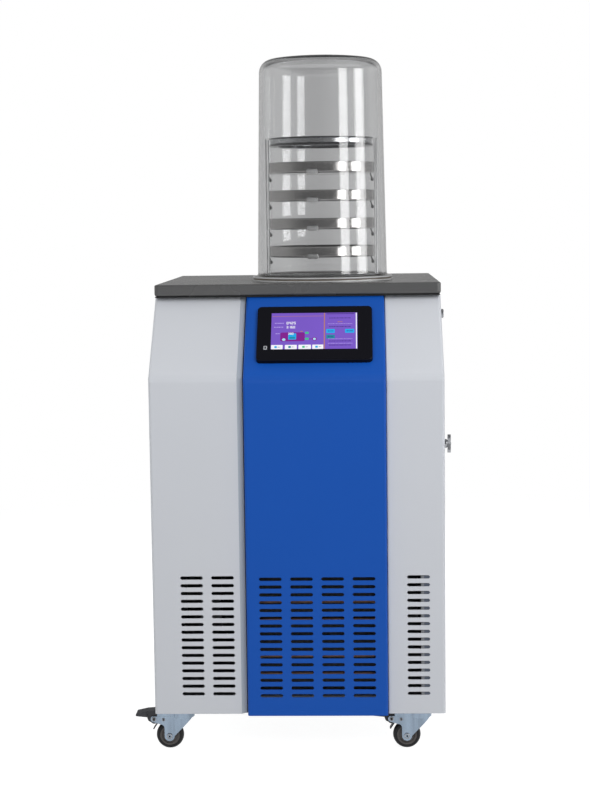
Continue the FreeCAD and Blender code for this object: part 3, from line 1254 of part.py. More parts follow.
def caster_axle(name):
    """Hollow-ended axle rivet through the fork."""
    side, king_y = CASTERS[name]
    body = new_body(f"axle_{name}")
    half = "(size.fork_width / 2 + 0.1)"
    head, shank = "(size.axle / 2 + 2.5)", "size.axle / 2"
    outline = [("0", f"-{half}"), ("1.8", f"-{half}"), ("1.8", f"-({half} + 1.4)"),
               (head, f"-({half} + 1.4)"), (head, f"-{half}"), (shank, f"-{half}"),
               (shank, half), (head, half), (head, f"{half} + 1.4"), ("1.8", f"{half} + 1.4"),
               ("1.8", half), ("0", half)]
    turn(body, draw(body, "XY", "0", [outline]))
    place(body, f"{side} * {KING_X} - size.trail", king_y, AXLE_Z)
    return keep(body.Name, body)


def caster_tyre(name):
    """Rubber tyre with a crowned tread."""
    side, king_y = CASTERS[name]
    body = new_body(f"tyre_{name}")
    half, inner = "size.wheel_width / 2", f"({AXLE_Z} - size.tread_depth)"
    shoulder = f"{AXLE_Z} - size.tread_crown"
    crown = "((size.wheel_width / 2)^2 + size.tread_crown^2) / (2 * size.tread_crown)"
    outline = [(inner, f"-({half})"), (shoulder, f"-({half})", crown, 1), (shoulder, half),
               (inner, half)]
    turn(body, draw(body, "XY", "0", [outline]))
    place(body, f"{side} * {KING_X} - size.trail", king_y, AXLE_Z)
    return keep(body.Name, body)


def caster_hub(name):
    """Moulded hub with a recess in each face and a bore that runs on the axle."""
    side, king_y = CASTERS[name]
    body = new_body(f"hub_{name}")
    rim, bore = f"({AXLE_Z} - size.tread_depth - 0.15)", "size.axle / 2 + size.running_gap"
    half, boss = "size.hub_width / 2", "size.axle / 2 + 3.5"
    edge = "(size.wheel_width / 2 - 0.5)"
    outline = [(bore, f"-({half})"), (boss, f"-({half})"), (boss, f"-({edge} - 3)"),
               (f"{rim} - 3", f"-({edge} - 3)"), (f"{rim} - 3", f"-{edge}"), (rim, f"-{edge}"),
               (rim, edge), (f"{rim} - 3", edge), (f"{rim} - 3", f"{edge} - 3"),
               (boss, f"{edge} - 3"), (boss, half), (bore, half)]
    turn(body, draw(body, "XY", "0", [outline]))
    place(body, f"{side} * {KING_X} - size.trail", king_y, AXLE_Z)
    return keep(body.Name, body)


def brake_pedal(name):
    """Moulded pedal on its pin, with the brake shoe hanging in front of the tyre."""
    side, king_y = CASTERS[name]
    body = new_body(f"pedal_{name}")
    x, z, hub = "-size.pedal_x", PEDAL_Z, "5.5"
    tip = "-size.pedal_tip"
    blade = [(f"{tip} + 3.5", f"{z} + 5.5"), (f"{x} - 15", f"{z} + 5.5"),
             (f"{x} - 8", f"{z} - 8"), (f"{x} - 3", f"{z} - 8"), (x, f"{z} - {hub}", hub, 1),
             (f"{x} + {hub}", z, hub, 1), (x, f"{z} + {hub}"), (f"{x} - 4", f"{z} + 16"),
             (f"{tip} + 3.5", f"{z} + 13"), (tip, f"{z} + 9.5", "3.7", 1)]
    pad(body, draw(body, "XZ", "0", [blade]), "size.pedal_width", both=True)
    gap = "size.fork_width / 2 - size.fork_sheet - 0.5"
    lug = box_path(f"{x} - 12.5", f"{z} - 12", f"{x} + 12", f"{z} + 30")
    for low, high in ((gap, "size.pedal_width"), ("-size.pedal_width", f"-({gap})")):
        depth = f"({high}) - ({low})"
        pocket(body, draw(body, "XZ", low, [lug]), depth)
    shoe = [(f"{x} - 1", f"{z} - 4"), (f"{x} + 7", f"{z} - 7.5"), (f"{x} - 0.5", f"{z} - 21"),
            (f"{x} - 2.5", f"{z} - 19.5"), (f"{x} + 3.4", f"{z} - 9.5"), (f"{x} - 4", f"{z} - 6")]
    pad(body, draw(body, "XZ", "0", [shoe]), "size.wheel_width - 3", both=True)
    pin = draw(body, "XZ", "0", [(x, z, "size.pin / 2")])
    pad(body, pin, "size.fork_width + 1", both=True)
    place(body, f"{side} * {KING_X}", king_y, "0")
    return keep(body.Name, body)


def write_parts():
    """Check every object and sub-part, then write one STEP file per node."""
    DOC.recompute()
    for item in DOC.Objects:
        if "Invalid" in item.State or "Error" in item.State:
            raise RuntimeError(f"{item.Name}: {item.State}")
    for node, item in NODES.items():
        if item.Shape.isNull() or not item.Shape.isValid():
            raise RuntimeError(f"{node}: shape is null or not valid")
    os.makedirs("parts", exist_ok=True)
    for node, item in NODES.items():
        item.Shape.exportStep(f"parts/{node}.step")
    print(len(NODES), "parts")


def build():
    """Build every sub-part in order, from the frame outwards."""
    fill_sheet()
    cabinet_frame()
    base_pan()
    neck, air = "size.valve_neck / 2 + size.neck_gap", "size.air_tube / 2 + size.neck_gap"
    side_cover("left_cover", -1, "size.left_vent", 2)
    side_cover("right_cover", 1, "size.right_vent", 1,
               (("size.drain_z", neck), ("size.air_z", air)))
    centre_panel()
    rear_panel()
    worktop_gasket()
    worktop()
    trap_vessel()
    trap_coil()
    trap_insulation()
    vacuum_pipe()
    drain_line()
    drain_valve_body()
    drain_valve_handle()
    air_valve_body()
    air_valve_knob()
    bell_seal()
    bell_jar()
    tray_rack()
    rack_cap()
    for number in range(1, 5):
        tray(number)
    display_bezel()
    display_screen()
    status_light()
    condenser_fins()
    condenser_tube()
    fan_shroud()
    fan_motor()
    fan_rotor()
    compressor()
    discharge_line()
    liquid_line()
    suction_line()
    power_inlet()
    rocker_switch()
    caster_plates()
    for name in CASTERS:
        caster_fork(name, name.startswith("front"))
        caster_axle(name)
        caster_tyre(name)
        caster_hub(name)
        if name.startswith("front"):
            brake_pedal(name)


build()
write_parts()
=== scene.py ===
"""Looks of an upright laboratory freeze dryer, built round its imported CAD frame.

Lengths are metres in the frame's own axes: +Z up, -Y the front with the screen, +X the side with
the valves.  Each sub-assembly is a class that builds its pieces and dresses them.
"""

import json
import logging
import math
from dataclasses import dataclass, field
from enum import Enum
from typing import Iterable, Mapping, Sequence

import bmesh
import bpy
from mathutils import Matrix, Vector

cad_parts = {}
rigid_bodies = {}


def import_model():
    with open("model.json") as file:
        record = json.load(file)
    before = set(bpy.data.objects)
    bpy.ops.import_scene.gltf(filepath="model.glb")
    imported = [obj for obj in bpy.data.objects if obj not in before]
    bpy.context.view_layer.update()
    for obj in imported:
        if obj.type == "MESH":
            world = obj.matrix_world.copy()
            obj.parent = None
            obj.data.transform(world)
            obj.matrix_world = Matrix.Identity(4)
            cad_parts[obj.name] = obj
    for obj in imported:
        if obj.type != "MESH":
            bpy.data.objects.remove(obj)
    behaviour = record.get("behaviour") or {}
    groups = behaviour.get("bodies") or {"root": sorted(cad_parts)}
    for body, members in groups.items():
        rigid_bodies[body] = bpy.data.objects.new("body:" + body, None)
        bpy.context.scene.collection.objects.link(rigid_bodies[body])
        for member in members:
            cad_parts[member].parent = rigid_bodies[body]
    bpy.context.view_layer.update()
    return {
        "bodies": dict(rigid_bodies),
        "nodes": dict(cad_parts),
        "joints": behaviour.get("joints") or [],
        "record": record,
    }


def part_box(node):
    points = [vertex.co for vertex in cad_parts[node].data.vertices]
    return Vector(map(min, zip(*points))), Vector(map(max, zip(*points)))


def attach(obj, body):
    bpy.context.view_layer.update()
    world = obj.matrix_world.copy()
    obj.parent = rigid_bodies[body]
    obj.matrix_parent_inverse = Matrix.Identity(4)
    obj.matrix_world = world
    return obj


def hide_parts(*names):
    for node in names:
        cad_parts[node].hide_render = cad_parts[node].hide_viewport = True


LOG = logging.getLogger("freeze_dryer")
MM = 0.001
Colour = tuple[float, float, float]
Point = tuple[float, float]
Place = tuple[float, float, float]
Node = bpy.types.Node
Socket = bpy.types.NodeSocket
Sockets = Mapping[str, Socket]
ON_AXIS = 1e-7
FOLD_HEIGHT = 684.5 * MM
BLACK: Colour = (0.0, 0.0, 0.0)
WHITE: Colour = (1.0, 1.0, 1.0)


# ------------------------------------------------------------------ node helpers
class Blend(Enum):
    """What a mix node blends, with its sockets: factor, two ends and result."""

    RGBA = (0, 6, 7, 2)
    FLOAT = (0, 2, 3, 0)
    VECTOR = (0, 4, 5, 1)


class Graph:
    """A node tree that is filled by short calls."""

    def __init__(self, tree: bpy.types.NodeTree) -> None:
        """Start from an empty tree."""
        self.tree = tree
        tree.nodes.clear()

    def node(self, kind: str, **settings: object) -> Node:
        """Add a node.

        Args:
            kind: The node's type name.
            settings: Attributes to set, and inputs by name with spaces as underscores.

        Returns:
            The new node.
        """
        made = self.tree.nodes.new(kind)
        for name, value in settings.items():
            if hasattr(made, name):
                setattr(made, name, value)
            else:
                self.feed(value, made.inputs[name.replace("_", " ")])
        return made

    def feed(self, value: object, target: Socket) -> None:
        """Link a source to an input, or set the input's own value."""
        if isinstance(value, Socket):
            self.tree.links.new(value, target)
        elif target.type == "RGBA":
            target.default_value = (*value[:3], 1.0)
        else:
            target.default_value = value

    def group(self, tree: bpy.types.NodeTree, **values: float) -> Node:
        """Place a shared effect, with input values by name."""
        return self.node("ShaderNodeGroup", node_tree=tree, **values)

    def math(self, operation: str, first: object, second: object = 0.0) -> Socket:
        """Result of a math node on two numbers or sockets."""
        made = self.node("ShaderNodeMath", operation=operation)
        self.feed(first, made.inputs[0])
        self.feed(second, made.inputs[1])
        return made.outputs[0]

    def vector(self, operation: str, first: Socket, second: object = BLACK) -> Node:
        """A vector math node on two vectors or sockets."""
        made = self.node("ShaderNodeVectorMath", operation=operation)
        self.feed(first, made.inputs[0])
        self.feed(second, made.inputs[1])
        return made

    def mix(self, factor: object, first: object, second: object, kind: Blend = Blend.RGBA
            ) -> Socket:
        """Blend two colours, numbers or vectors.

        Args:
            factor: A number or a socket.
            first: The value or socket at factor 0.
            second: The value or socket at factor 1.
            kind: What is blended.

        Returns:
            The result's socket.
        """
        made = self.node("ShaderNodeMix", data_type=kind.name)
        *ends, result = kind.value
        for socket, value in zip(ends, (factor, first, second)):
            self.feed(value, made.inputs[socket])
        return made.outputs[result]

    def spread(self, value: Socket, low: float, high: float) -> Socket:
        """A value of 0..1 mapped to low..high."""
        return self.math("ADD", self.math("MULTIPLY", value, high - low), low)

    def ramp(self, value: Socket, start: object, stop: object, low: float = 0.0,
             high: float = 1.0, shape: str = "SMOOTHSTEP") -> Socket:
        """Map a value that runs from start to stop onto low to high.

        Args:
            value: The socket to map.
            start: The value that gives low.
            stop: The value that gives high.
            low: First result.
            high: Last result.
            shape: The ramp's interpolation.

        Returns:
            The mapped value's socket.
        """
        return self.node("ShaderNodeMapRange", interpolation_type=shape, Value=value,
                         From_Min=start, From_Max=stop, To_Min=low, To_Max=high).outputs[0]

    def axes(self, source: Socket) -> Sockets:
        """A vector's X, Y and Z sockets by name."""
        return self.node("ShaderNodeSeparateXYZ", Vector=source).outputs

    def place(self) -> Socket:
        """Socket of the surface point in the piece's own axes, in metres."""
        return self.node("ShaderNodeTexCoord").outputs["Object"]

    def mirrored(self) -> tuple[Node, Socket]:
        """The light path node, and 1 for a ray that a mirror or glass has sent on."""
        path = self.node("ShaderNodeLightPath")
        return path, self.math("MAXIMUM", path.outputs["Is Glossy Ray"],
                               path.outputs["Is Transmission Ray"])


def new_material(name: str) -> tuple[bpy.types.Material, Graph, Socket]:
    """An empty material with its graph and the surface input of its output."""
    material = bpy.data.materials.new(name)
    material.use_nodes = True
    graph = Graph(material.node_tree)
    return material, graph, graph.node("ShaderNodeOutputMaterial").inputs["Surface"]


def new_group(name: str, inputs: dict[str, float], outputs: Sequence[str],
              vectors: Sequence[str] = ()
              ) -> tuple[bpy.types.NodeTree, Graph, Sockets, Sockets]:
    """Make an empty shader node group.

    Args:
        name: The group's name.
        inputs: Number inputs and their defaults.
        outputs: Names of the number outputs.
        vectors: Names of the vector outputs, which come first.

    Returns:
        The tree, its graph, the sockets that its inputs give and the sockets of its outputs.
    """
    tree = bpy.data.node_groups.new(name, "ShaderNodeTree")
    for label, default in inputs.items():
        socket = tree.interface.new_socket(label, in_out="INPUT", socket_type="NodeSocketFloat")
        socket.default_value = default
    for labels, kind in ((vectors, "NodeSocketVector"), (outputs, "NodeSocketFloat")):
        for label in labels:
            tree.interface.new_socket(label, in_out="OUTPUT", socket_type=kind)
    graph = Graph(tree)
    return tree, graph, graph.node("NodeGroupInput").outputs, graph.node("NodeGroupOutput").inputs


class Effects:
    """Shader node groups that several finishes share."""

    fold_normal: Place = (0.0, -0.925, 0.38)
    front_skin: float = -0.6
    edge_sharpness: float = 6.0

    def __init__(self) -> None:
        """Build every group once."""
        self.grain = self.grain_group()
        self.edge = self.edge_group()
        self.brushed = self.brushed_group()
        self.smudge = self.smudge_group()

    @staticmethod
    def grain_group() -> bpy.types.NodeTree:
        """Fine even texture of sprayed or moulded skins: a Height and a broad Patch value."""
        tree, graph, given, result = new_group(
            "surface_grain", {"Cells per metre": 900.0, "Patches per metre": 9.0},
            ("Height", "Patch"))
        place = graph.place()
        fine = graph.node("ShaderNodeTexNoise", Vector=place, Detail=2.0, Roughness=0.55,
                          Scale=given["Cells per metre"])
        broad = graph.node("ShaderNodeTexNoise", Vector=place, Detail=3.0,
                           Scale=given["Patches per metre"])
        graph.feed(fine.outputs["Fac"], result["Height"])
        graph.feed(broad.outputs["Fac"], result["Patch"])
        return tree

    def edge_group(self) -> bpy.types.NodeTree:
        """Eased edges: a rounded Normal, a Mask that is 1 on the edge, which the finishes use for a
        painted highlight, and a wide soft bend.

        Returns:
            A group whose bend turns the front's Normal near one height.
        """
        tree, graph, given, result = new_group(
            "eased_edge", {"Radius": 0.0006, "Bend height": 0.0, "Bend reach": 0.0001},
            ("Mask",), ("Normal",))
        eased = graph.node("ShaderNodeBevel", samples=4, Radius=given["Radius"]).outputs["Normal"]
        flat = graph.node("ShaderNodeNewGeometry").outputs
        bend = graph.math("SUBTRACT", 1.0,
                          graph.vector("DOT_PRODUCT", eased, flat["Normal"]).outputs["Value"])
        mask = graph.math("MINIMUM", graph.math("MULTIPLY", bend, self.edge_sharpness), 1.0)
        away = graph.math("ABSOLUTE", graph.math("SUBTRACT", graph.axes(flat["Position"])["Z"],
                                                 given["Bend height"]))
        near = graph.ramp(away, given["Bend reach"], 0.0)
        front = graph.math("LESS_THAN", graph.axes(eased)["Y"], self.front_skin)
        turned = graph.mix(graph.math("MULTIPLY", near, front), eased, self.fold_normal,
                           Blend.VECTOR)
        graph.feed(graph.vector("NORMALIZE", turned).outputs[0], result["Normal"])
        graph.feed(mask, result["Mask"])
        return tree

    @staticmethod
    def brushed_group() -> bpy.types.NodeTree:
        """Long fine Streaks of brushed or drawn metal, across the axis with the largest stretch."""
        tree, graph, given, result = new_group(
            "brushed_streaks", {"Across X": 20.0, "Across Y": 20.0, "Across Z": 2500.0},
            ("Streaks",))
        scale = graph.node("ShaderNodeCombineXYZ", X=given["Across X"], Y=given["Across Y"],
                           Z=given["Across Z"])
        stretched = graph.vector("MULTIPLY", graph.place(), scale.outputs[0])
        noise = graph.node("ShaderNodeTexNoise", Vector=stretched.outputs[0], Scale=1.0,
                           Detail=3.0, Roughness=0.6)
        graph.feed(noise.outputs["Fac"], result["Streaks"])
        return tree

    @staticmethod
    def smudge_group() -> bpy.types.NodeTree:
        """Faint handling Marks that change how glossy a skin is."""
        tree, graph, given, result = new_group(
            "smudges", {"Marks per metre": 25.0}, ("Marks",))
        noise = graph.node("ShaderNodeTexNoise", Vector=graph.place(), Detail=5.0,
                           Scale=given["Marks per metre"], Distortion=0.6)
        graph.feed(graph.ramp(noise.outputs["Fac"], 0.45, 0.75, shape="LINEAR"), result["Marks"])
        return tree


# ------------------------------------------------------------------ finishes
@dataclass(frozen=True)
class Finish:
    """A skin with its own colour and gloss, a fine grain and eased edges."""

    colour: Colour
    roughness: float = 0.4
    metallic: float = 0.0
    grain: float = 0.15
    cells: float = 900.0
    # How far the pattern darkens the colour: random tone, and painted shade or reflection where a
    # finish says so.
    tone_and_painted_shade: float = 0.06
    edge: float = 0.0006
    # Gain of the painted highlight on eased edges.
    edge_highlight_gain: float = 1.12
    specular: float = 0.5
    bend_height: float = 0.0
    bend_reach: float = 0.0001
    relief: float = 0.0002
    rough_range: float = 0.04

    def build(self, name: str, effects: Effects) -> bpy.types.Material:
        """Make the material.

        Args:
            name: The material's name.
            effects: The shared node groups.

        Returns:
            The new material.
        """
        material, graph, surface = new_material(name)
        shader = graph.node("ShaderNodeBsdfPrincipled", Metallic=self.metallic,
                            Specular_IOR_Level=self.specular)
        graph.feed(shader.outputs[0], surface)
        self.wire(graph, shader.inputs, effects)
        return material

    def dull(self) -> Colour:
        """The colour where the pattern darkens it: random tone on most finishes, painted shade
        between fins and painted reflection bands on the caster zinc.
        """
        return tuple(part * (1.0 - self.tone_and_painted_shade) for part in self.colour)

    def skin(self, graph: Graph, shader: Sockets, pattern: Socket, edge: Node
             ) -> None:
        """Feed the base colour: the pattern dulls it, and edges get a painted highlight."""
        # Painted highlight: the colour brightened where the edge mask is 1.
        bright = tuple(min(part * self.edge_highlight_gain, 1.0) for part in self.colour)
        base = graph.mix(pattern, self.dull(), self.colour)
        graph.feed(graph.mix(edge.outputs["Mask"], base, bright), shader["Base Color"])

    @staticmethod
    def raise_skin(graph: Graph, shader: Sockets, strength: float, distance: float,
                   height: Socket, edge: Node) -> None:
        """Feed the normal: the height's relief over the eased edges."""
        bump = graph.node("ShaderNodeBump", Strength=strength, Distance=distance, Height=height,
                          Normal=edge.outputs["Normal"])
        graph.feed(bump.outputs[0], shader["Normal"])

    def wire(self, graph: Graph, shader: Sockets, effects: Effects) -> None:
        """Feed colour, roughness and normal from the shared effects.

        Args:
            graph: The material's graph.
            shader: Inputs of its Principled node.
            effects: The shared node groups.
        """
        grain = graph.group(effects.grain, Cells_per_metre=self.cells).outputs
        edge = graph.group(effects.edge, Radius=self.edge, Bend_height=self.bend_height,
                           Bend_reach=self.bend_reach)
        self.skin(graph, shader, grain["Patch"], edge)
        graph.feed(graph.spread(grain["Patch"], self.roughness - self.rough_range,
                                self.roughness + self.rough_range), shader["Roughness"])
        self.raise_skin(graph, shader, self.grain, self.relief, grain["Height"], edge)


@dataclass(frozen=True)
class BrushedFinish(Finish):
    """Metal with long scratches, turned round the vertical or drawn along an axis."""

    metallic: float = 1.0
    across: Place = (20.0, 20.0, 2500.0)
    streaks: float = 0.25
    stretch: float = 0.0
    relief: float = 0.0001
    rough_range: float = 0.08

    def wire(self, graph: Graph, shader: Sockets, effects: Effects) -> None:
        """Feed colour, roughness and normal from scratches and smudges."""
        x, y, z = self.across
        streaks = graph.group(effects.brushed, Across_X=x, Across_Y=y,
                              Across_Z=z).outputs["Streaks"]
        marks = graph.group(effects.smudge).outputs["Marks"]
        edge = graph.group(effects.edge, Radius=self.edge)
        shader["Anisotropic"].default_value = self.stretch
        self.skin(graph, shader, streaks, edge)
        rough = graph.spread(streaks, self.roughness - self.rough_range,
                             self.roughness + self.rough_range)
        marked = graph.math("MULTIPLY", marks, self.rough_range)
        graph.feed(graph.math("ADD", rough, marked), shader["Roughness"])
        self.raise_skin(graph, shader, self.streaks, self.relief, streaks, edge)


@dataclass(frozen=True)
class ClearFinish(Finish):
    """Clear acrylic or glass that lets light fall on what it covers."""

    roughness: float = 0.0
    shade: Colour = (0.9, 0.9, 0.9)
    haze: float = 0.015
    index: float = 1.49
    tone_and_painted_shade: float = 0.015
    rough_range: float = 0.015

    def build(self, name: str, effects: Effects) -> bpy.types.Material:
        """Make the material, whose shadow is paler than glass gives it."""
        material, graph, surface = new_material(name)
        shader = graph.node("ShaderNodeBsdfPrincipled", Metallic=0.0, IOR=self.index,
                            Transmission_Weight=1.0 - self.haze)
        marks = graph.group(effects.smudge, Marks_per_metre=14.0).outputs["Marks"]
        graph.feed(graph.mix(marks, self.colour, self.dull()), shader.inputs["Base Color"])
        graph.feed(graph.spread(marks, self.roughness, self.roughness + self.rough_range),
                   shader.inputs["Roughness"])
        through = graph.node("ShaderNodeBsdfTransparent", Color=self.shade)
        blend = graph.node("ShaderNodeMixShader")
        shadow = graph.node("ShaderNodeLightPath").outputs["Is Shadow Ray"]
        for source, target in zip((shadow, shader.outputs[0], through.outputs[0]), blend.inputs):
            graph.feed(source, target)
        graph.feed(blend.outputs[0], surface)
        return material


@dataclass(frozen=True)
class GlowFinish(Finish):
    """A lit area of a display behind clear glass."""

    roughness: float = 0.12
    glow: float = 1.0
    rough_range: float = 0.03
    own_light: float = 0.8

    def wire(self, graph: Graph, shader: Sockets, effects: Effects) -> None:
        """Feed a slightly uneven colour that also shines."""
        grain = graph.group(effects.grain, Cells_per_metre=3000.0, Patches_per_metre=14.0).outputs
        lit = graph.mix(grain["Patch"], self.dull(), self.colour)
        graph.feed(graph.mix(self.own_light, lit, BLACK), shader["Base Color"])
        graph.feed(lit, shader["Emission Color"])
        shader["Emission Strength"].default_value = self.glow
        graph.feed(graph.spread(grain["Height"], self.roughness,
                                self.roughness + self.rough_range), shader["Roughness"])


@dataclass(frozen=True)
class FinFinish(Finish):
    """Stacked thin fins, seen from their edges, with painted shade in the gaps between them."""

    spacing: float = 0.0022
    fin_part: float = 0.3
    # The gaps between fins get 5 % of the fins' colour: painted shade.
    tone_and_painted_shade: float = 0.95
    rough_range: float = 0.1

    def wire(self, graph: Graph, shader: Sockets, effects: Effects) -> None:
        """Feed colour and height from upright fins at an even spacing; the near-black gaps are
        painted shade.
        """
        grain = graph.group(effects.grain).outputs
        across = graph.axes(graph.place())["X"]
        phase = graph.math("FRACT", graph.math("DIVIDE", across, self.spacing))
        gap = graph.math("GREATER_THAN", phase, self.fin_part)
        graph.feed(graph.mix(gap, self.colour, self.dull()), shader["Base Color"])
        graph.feed(graph.spread(grain["Patch"], self.roughness,
                                self.roughness + self.rough_range), shader["Roughness"])
        bump = graph.node("ShaderNodeBump", Strength=0.6, Distance=0.0008,
                          Height=graph.math("SUBTRACT", 1.0, gap))
        graph.feed(bump.outputs[0], shader["Normal"])


FINISHES: dict[str, Finish] = {
    "white_paint": Finish((0.66, 0.675, 0.70), 0.45, grain=0.10, tone_and_painted_shade=0.02, edge=0.0009,
                          specular=0.45, bend_height=FOLD_HEIGHT, bend_reach=0.012),
    "blue_paint": Finish((0.006, 0.088, 0.44), 0.45, grain=0.10, tone_and_painted_shade=0.04, edge=0.0009,
                         specular=0.30, bend_height=FOLD_HEIGHT, bend_reach=0.012),
    "frame_paint": Finish((0.20, 0.205, 0.215), 0.45),
    # Darker grey of the seam's bevel: painted shade where the blue panel blocks the light.
    "seam_painted_shade": Finish((0.43, 0.465, 0.50), 0.45, grain=0.10, tone_and_painted_shade=0.02, specular=0.3),
    # Dark blue-grey that stands for shade in recesses: behind the gap at the right post, and in
    # rivet hollows.
    "painted_recess_shade": Finish((0.085, 0.10, 0.13), 0.5, grain=0.10),
    "zinc_sheet": BrushedFinish((0.55, 0.56, 0.57), 0.42, across=(300.0, 12.0, 300.0)),
    "black_rubber": Finish((0.018, 0.018, 0.018), 0.7, cells=1500.0, grain=0.3),
    # The worktop's edges carry a painted highlight.
    "grey_worktop": Finish((0.096, 0.095, 0.093), 0.27, cells=1300.0, grain=0.08, edge=0.0010,
                           edge_highlight_gain=1.5, specular=0.6),
    "trap_steel": BrushedFinish((0.55, 0.55, 0.55), 0.28),
    "copper": BrushedFinish((0.42, 0.25, 0.17), 0.45, across=(40.0, 400.0, 400.0), tone_and_painted_shade=0.3),
    "foam": Finish((0.62, 0.52, 0.33), 0.9, cells=350.0, grain=0.6),
    "valve_metal": BrushedFinish((0.50, 0.51, 0.53), 0.30, across=(1500.0, 60.0, 60.0)),
    "clear_acrylic": ClearFinish((0.95, 0.953, 0.957)),
    "rack_steel": BrushedFinish((0.50, 0.51, 0.52), 0.20, streaks=0.05),
    "rod_steel": BrushedFinish((0.74, 0.75, 0.76), 0.55, streaks=0.05),
    "tab_steel": BrushedFinish((0.70, 0.70, 0.70), 0.50, streaks=0.05),
    "satin_steel": Finish((0.46, 0.46, 0.45), 0.32, grain=0.05),
    "seal_rubber": Finish((0.16, 0.13, 0.10), 0.6, grain=0.1),
    # Near-black steel of the cover disc's rims: a painted dark reflection.
    "rim_dark_reflection": BrushedFinish((0.07, 0.07, 0.075), 0.25, streaks=0.05),
    "tray_steel": BrushedFinish((0.42, 0.41, 0.40), 0.12, streaks=0.06, stretch=0.3),
    # The bezel's edges carry a strong painted highlight.
    "bezel_plastic": Finish((0.006, 0.006, 0.009), 0.25, grain=0.02, edge=0.0012,
                            edge_highlight_gain=3.0, specular=0.12),
    "screen_glass": GlowFinish((0.17, 0.085, 0.50), tone_and_painted_shade=0.12),
    "light_lens": Finish((0.45, 0.46, 0.48), 0.2, grain=0.02),
    "fin_aluminium": FinFinish((0.10, 0.105, 0.11), 0.5),
    "black_paint": Finish((0.018, 0.018, 0.02), 0.35),
    "fan_plastic": Finish((0.03, 0.03, 0.032), 0.5),
    "black_plastic": Finish((0.015, 0.015, 0.017), 0.42, cells=1400.0, grain=0.25),
    # The caster zinc's strong dark bands up the height are a painted reflection of the room.
    "caster_zinc": BrushedFinish((0.50, 0.62, 0.76), 0.20, across=(75.0, 75.0, 5.0),
                                 tone_and_painted_shade=0.62, streaks=0.04),
    "tyre_rubber": Finish((0.012, 0.012, 0.013), 0.62, cells=1100.0, grain=0.35),
    "hub_plastic": Finish((0.105, 0.095, 0.09), 0.5, cells=1200.0, grain=0.2),
    "pedal_plastic": Finish((0.05, 0.05, 0.055), 0.5, cells=1300.0, grain=0.3),
    "screw_steel": BrushedFinish((0.45, 0.46, 0.48), 0.3, across=(500.0, 500.0, 500.0)),
    "marking_white": Finish((0.62, 0.62, 0.62), 0.5),
}
SCREEN_COLOURS: dict[str, Colour] = {
    "cyan": (0.010, 0.34, 0.70), "white": (0.80, 0.80, 0.84), "magenta": (0.19, 0.008, 0.23),
    "dark": (0.035, 0.015, 0.16), "orange": (0.42, 0.18, 0.12), "green": (0.05, 0.45, 0.22),
    "lilac": (0.42, 0.33, 0.72), "teal": (0.01, 0.21, 0.30), "pale": (0.35, 0.62, 0.75)}
FINISHES |= {f"screen_{name}": GlowFinish(colour) for name, colour in SCREEN_COLOURS.items()}
NODE_FINISHES: dict[str, str] = {"bell_seal": "seal_rubber", "fan_shroud": "black_paint"}


class Palette:
    """The object's materials, one for each slot and each printed or lit colour."""

    def __init__(self, frame: dict) -> None:
        """Build every material once and give every CAD node the finish of its slot.
        """
        effects = Effects()
        self.materials = {name: finish.build(name, effects) for name, finish in FINISHES.items()}
        parts = frame["record"]["subparts"]
        self.record_slots = {part["material_slot"] for part in parts}
        for part in parts:
            self.dress(frame["nodes"][part["node"]],
                       NODE_FINISHES.get(part["node"], part["material_slot"]))

    def dress(self, piece: bpy.types.Object, *slots: str) -> None:
        """Put one or more materials on a piece, over what it came with."""
        for index, slot in enumerate(slots):
            if index < len(piece.data.materials):
                piece.data.materials[index] = self.materials[slot]
            else:
                piece.data.materials.append(self.materials[slot])


# ------------------------------------------------------------------ mesh helpers
def finish_mesh(name: str, shape: bmesh.types.BMesh, smooth_angle: float = 35.0
                ) -> bpy.types.Object:
    """Turn a built shape into an object of the scene.

    Args:
        name: The piece's name.
        shape: The shape, which is freed.
        smooth_angle: Edges flatter than this many degrees are shaded smooth.

    Returns:
        The new object.
    """
    bmesh.ops.recalc_face_normals(shape, faces=shape.faces)
    limit = math.radians(smooth_angle)
    for face in shape.faces:
        face.smooth = True
    for edge in shape.edges:
        edge.smooth = edge.is_manifold and edge.calc_face_angle(math.pi) < limit
    mesh = bpy.data.meshes.new(name)
    shape.to_mesh(mesh)
    shape.free()
    piece = bpy.data.objects.new(name, mesh)
    bpy.context.scene.collection.objects.link(piece)
    return piece


def spin_profile(shape: bmesh.types.BMesh, profile: Sequence[Point], matrix: Matrix,
                 segments: int = 64, closed: bool = True, material: int = 0) -> None:
    """Turn an outline of (radius, height) points about a matrix's Z axis.

    Args:
        shape: Where the surface is added.
        profile: The outline's points.
        matrix: Place and direction of the axis.
        segments: Steps round the axis.
        closed: Whether the last point joins the first.
        material: Index of the material.
    """
    rings = []
    for radius, height in profile:
        if radius < ON_AXIS:
            rings.append([shape.verts.new(matrix @ Vector((0, 0, height)))] * segments)
            continue
        turns = (2 * math.pi * step / segments for step in range(segments))
        rings.append([shape.verts.new(matrix @ Vector((radius * math.cos(turn),
                                                       radius * math.sin(turn), height)))
                      for turn in turns])
    for low, high in zip(rings, rings[1:] + (rings[:1] if closed else [])):
        for step in range(segments):
            after = (step + 1) % segments
            corners = list(dict.fromkeys((low[step], low[after], high[after], high[step])))
            if len(corners) > 2:
                shape.faces.new(corners).material_index = material


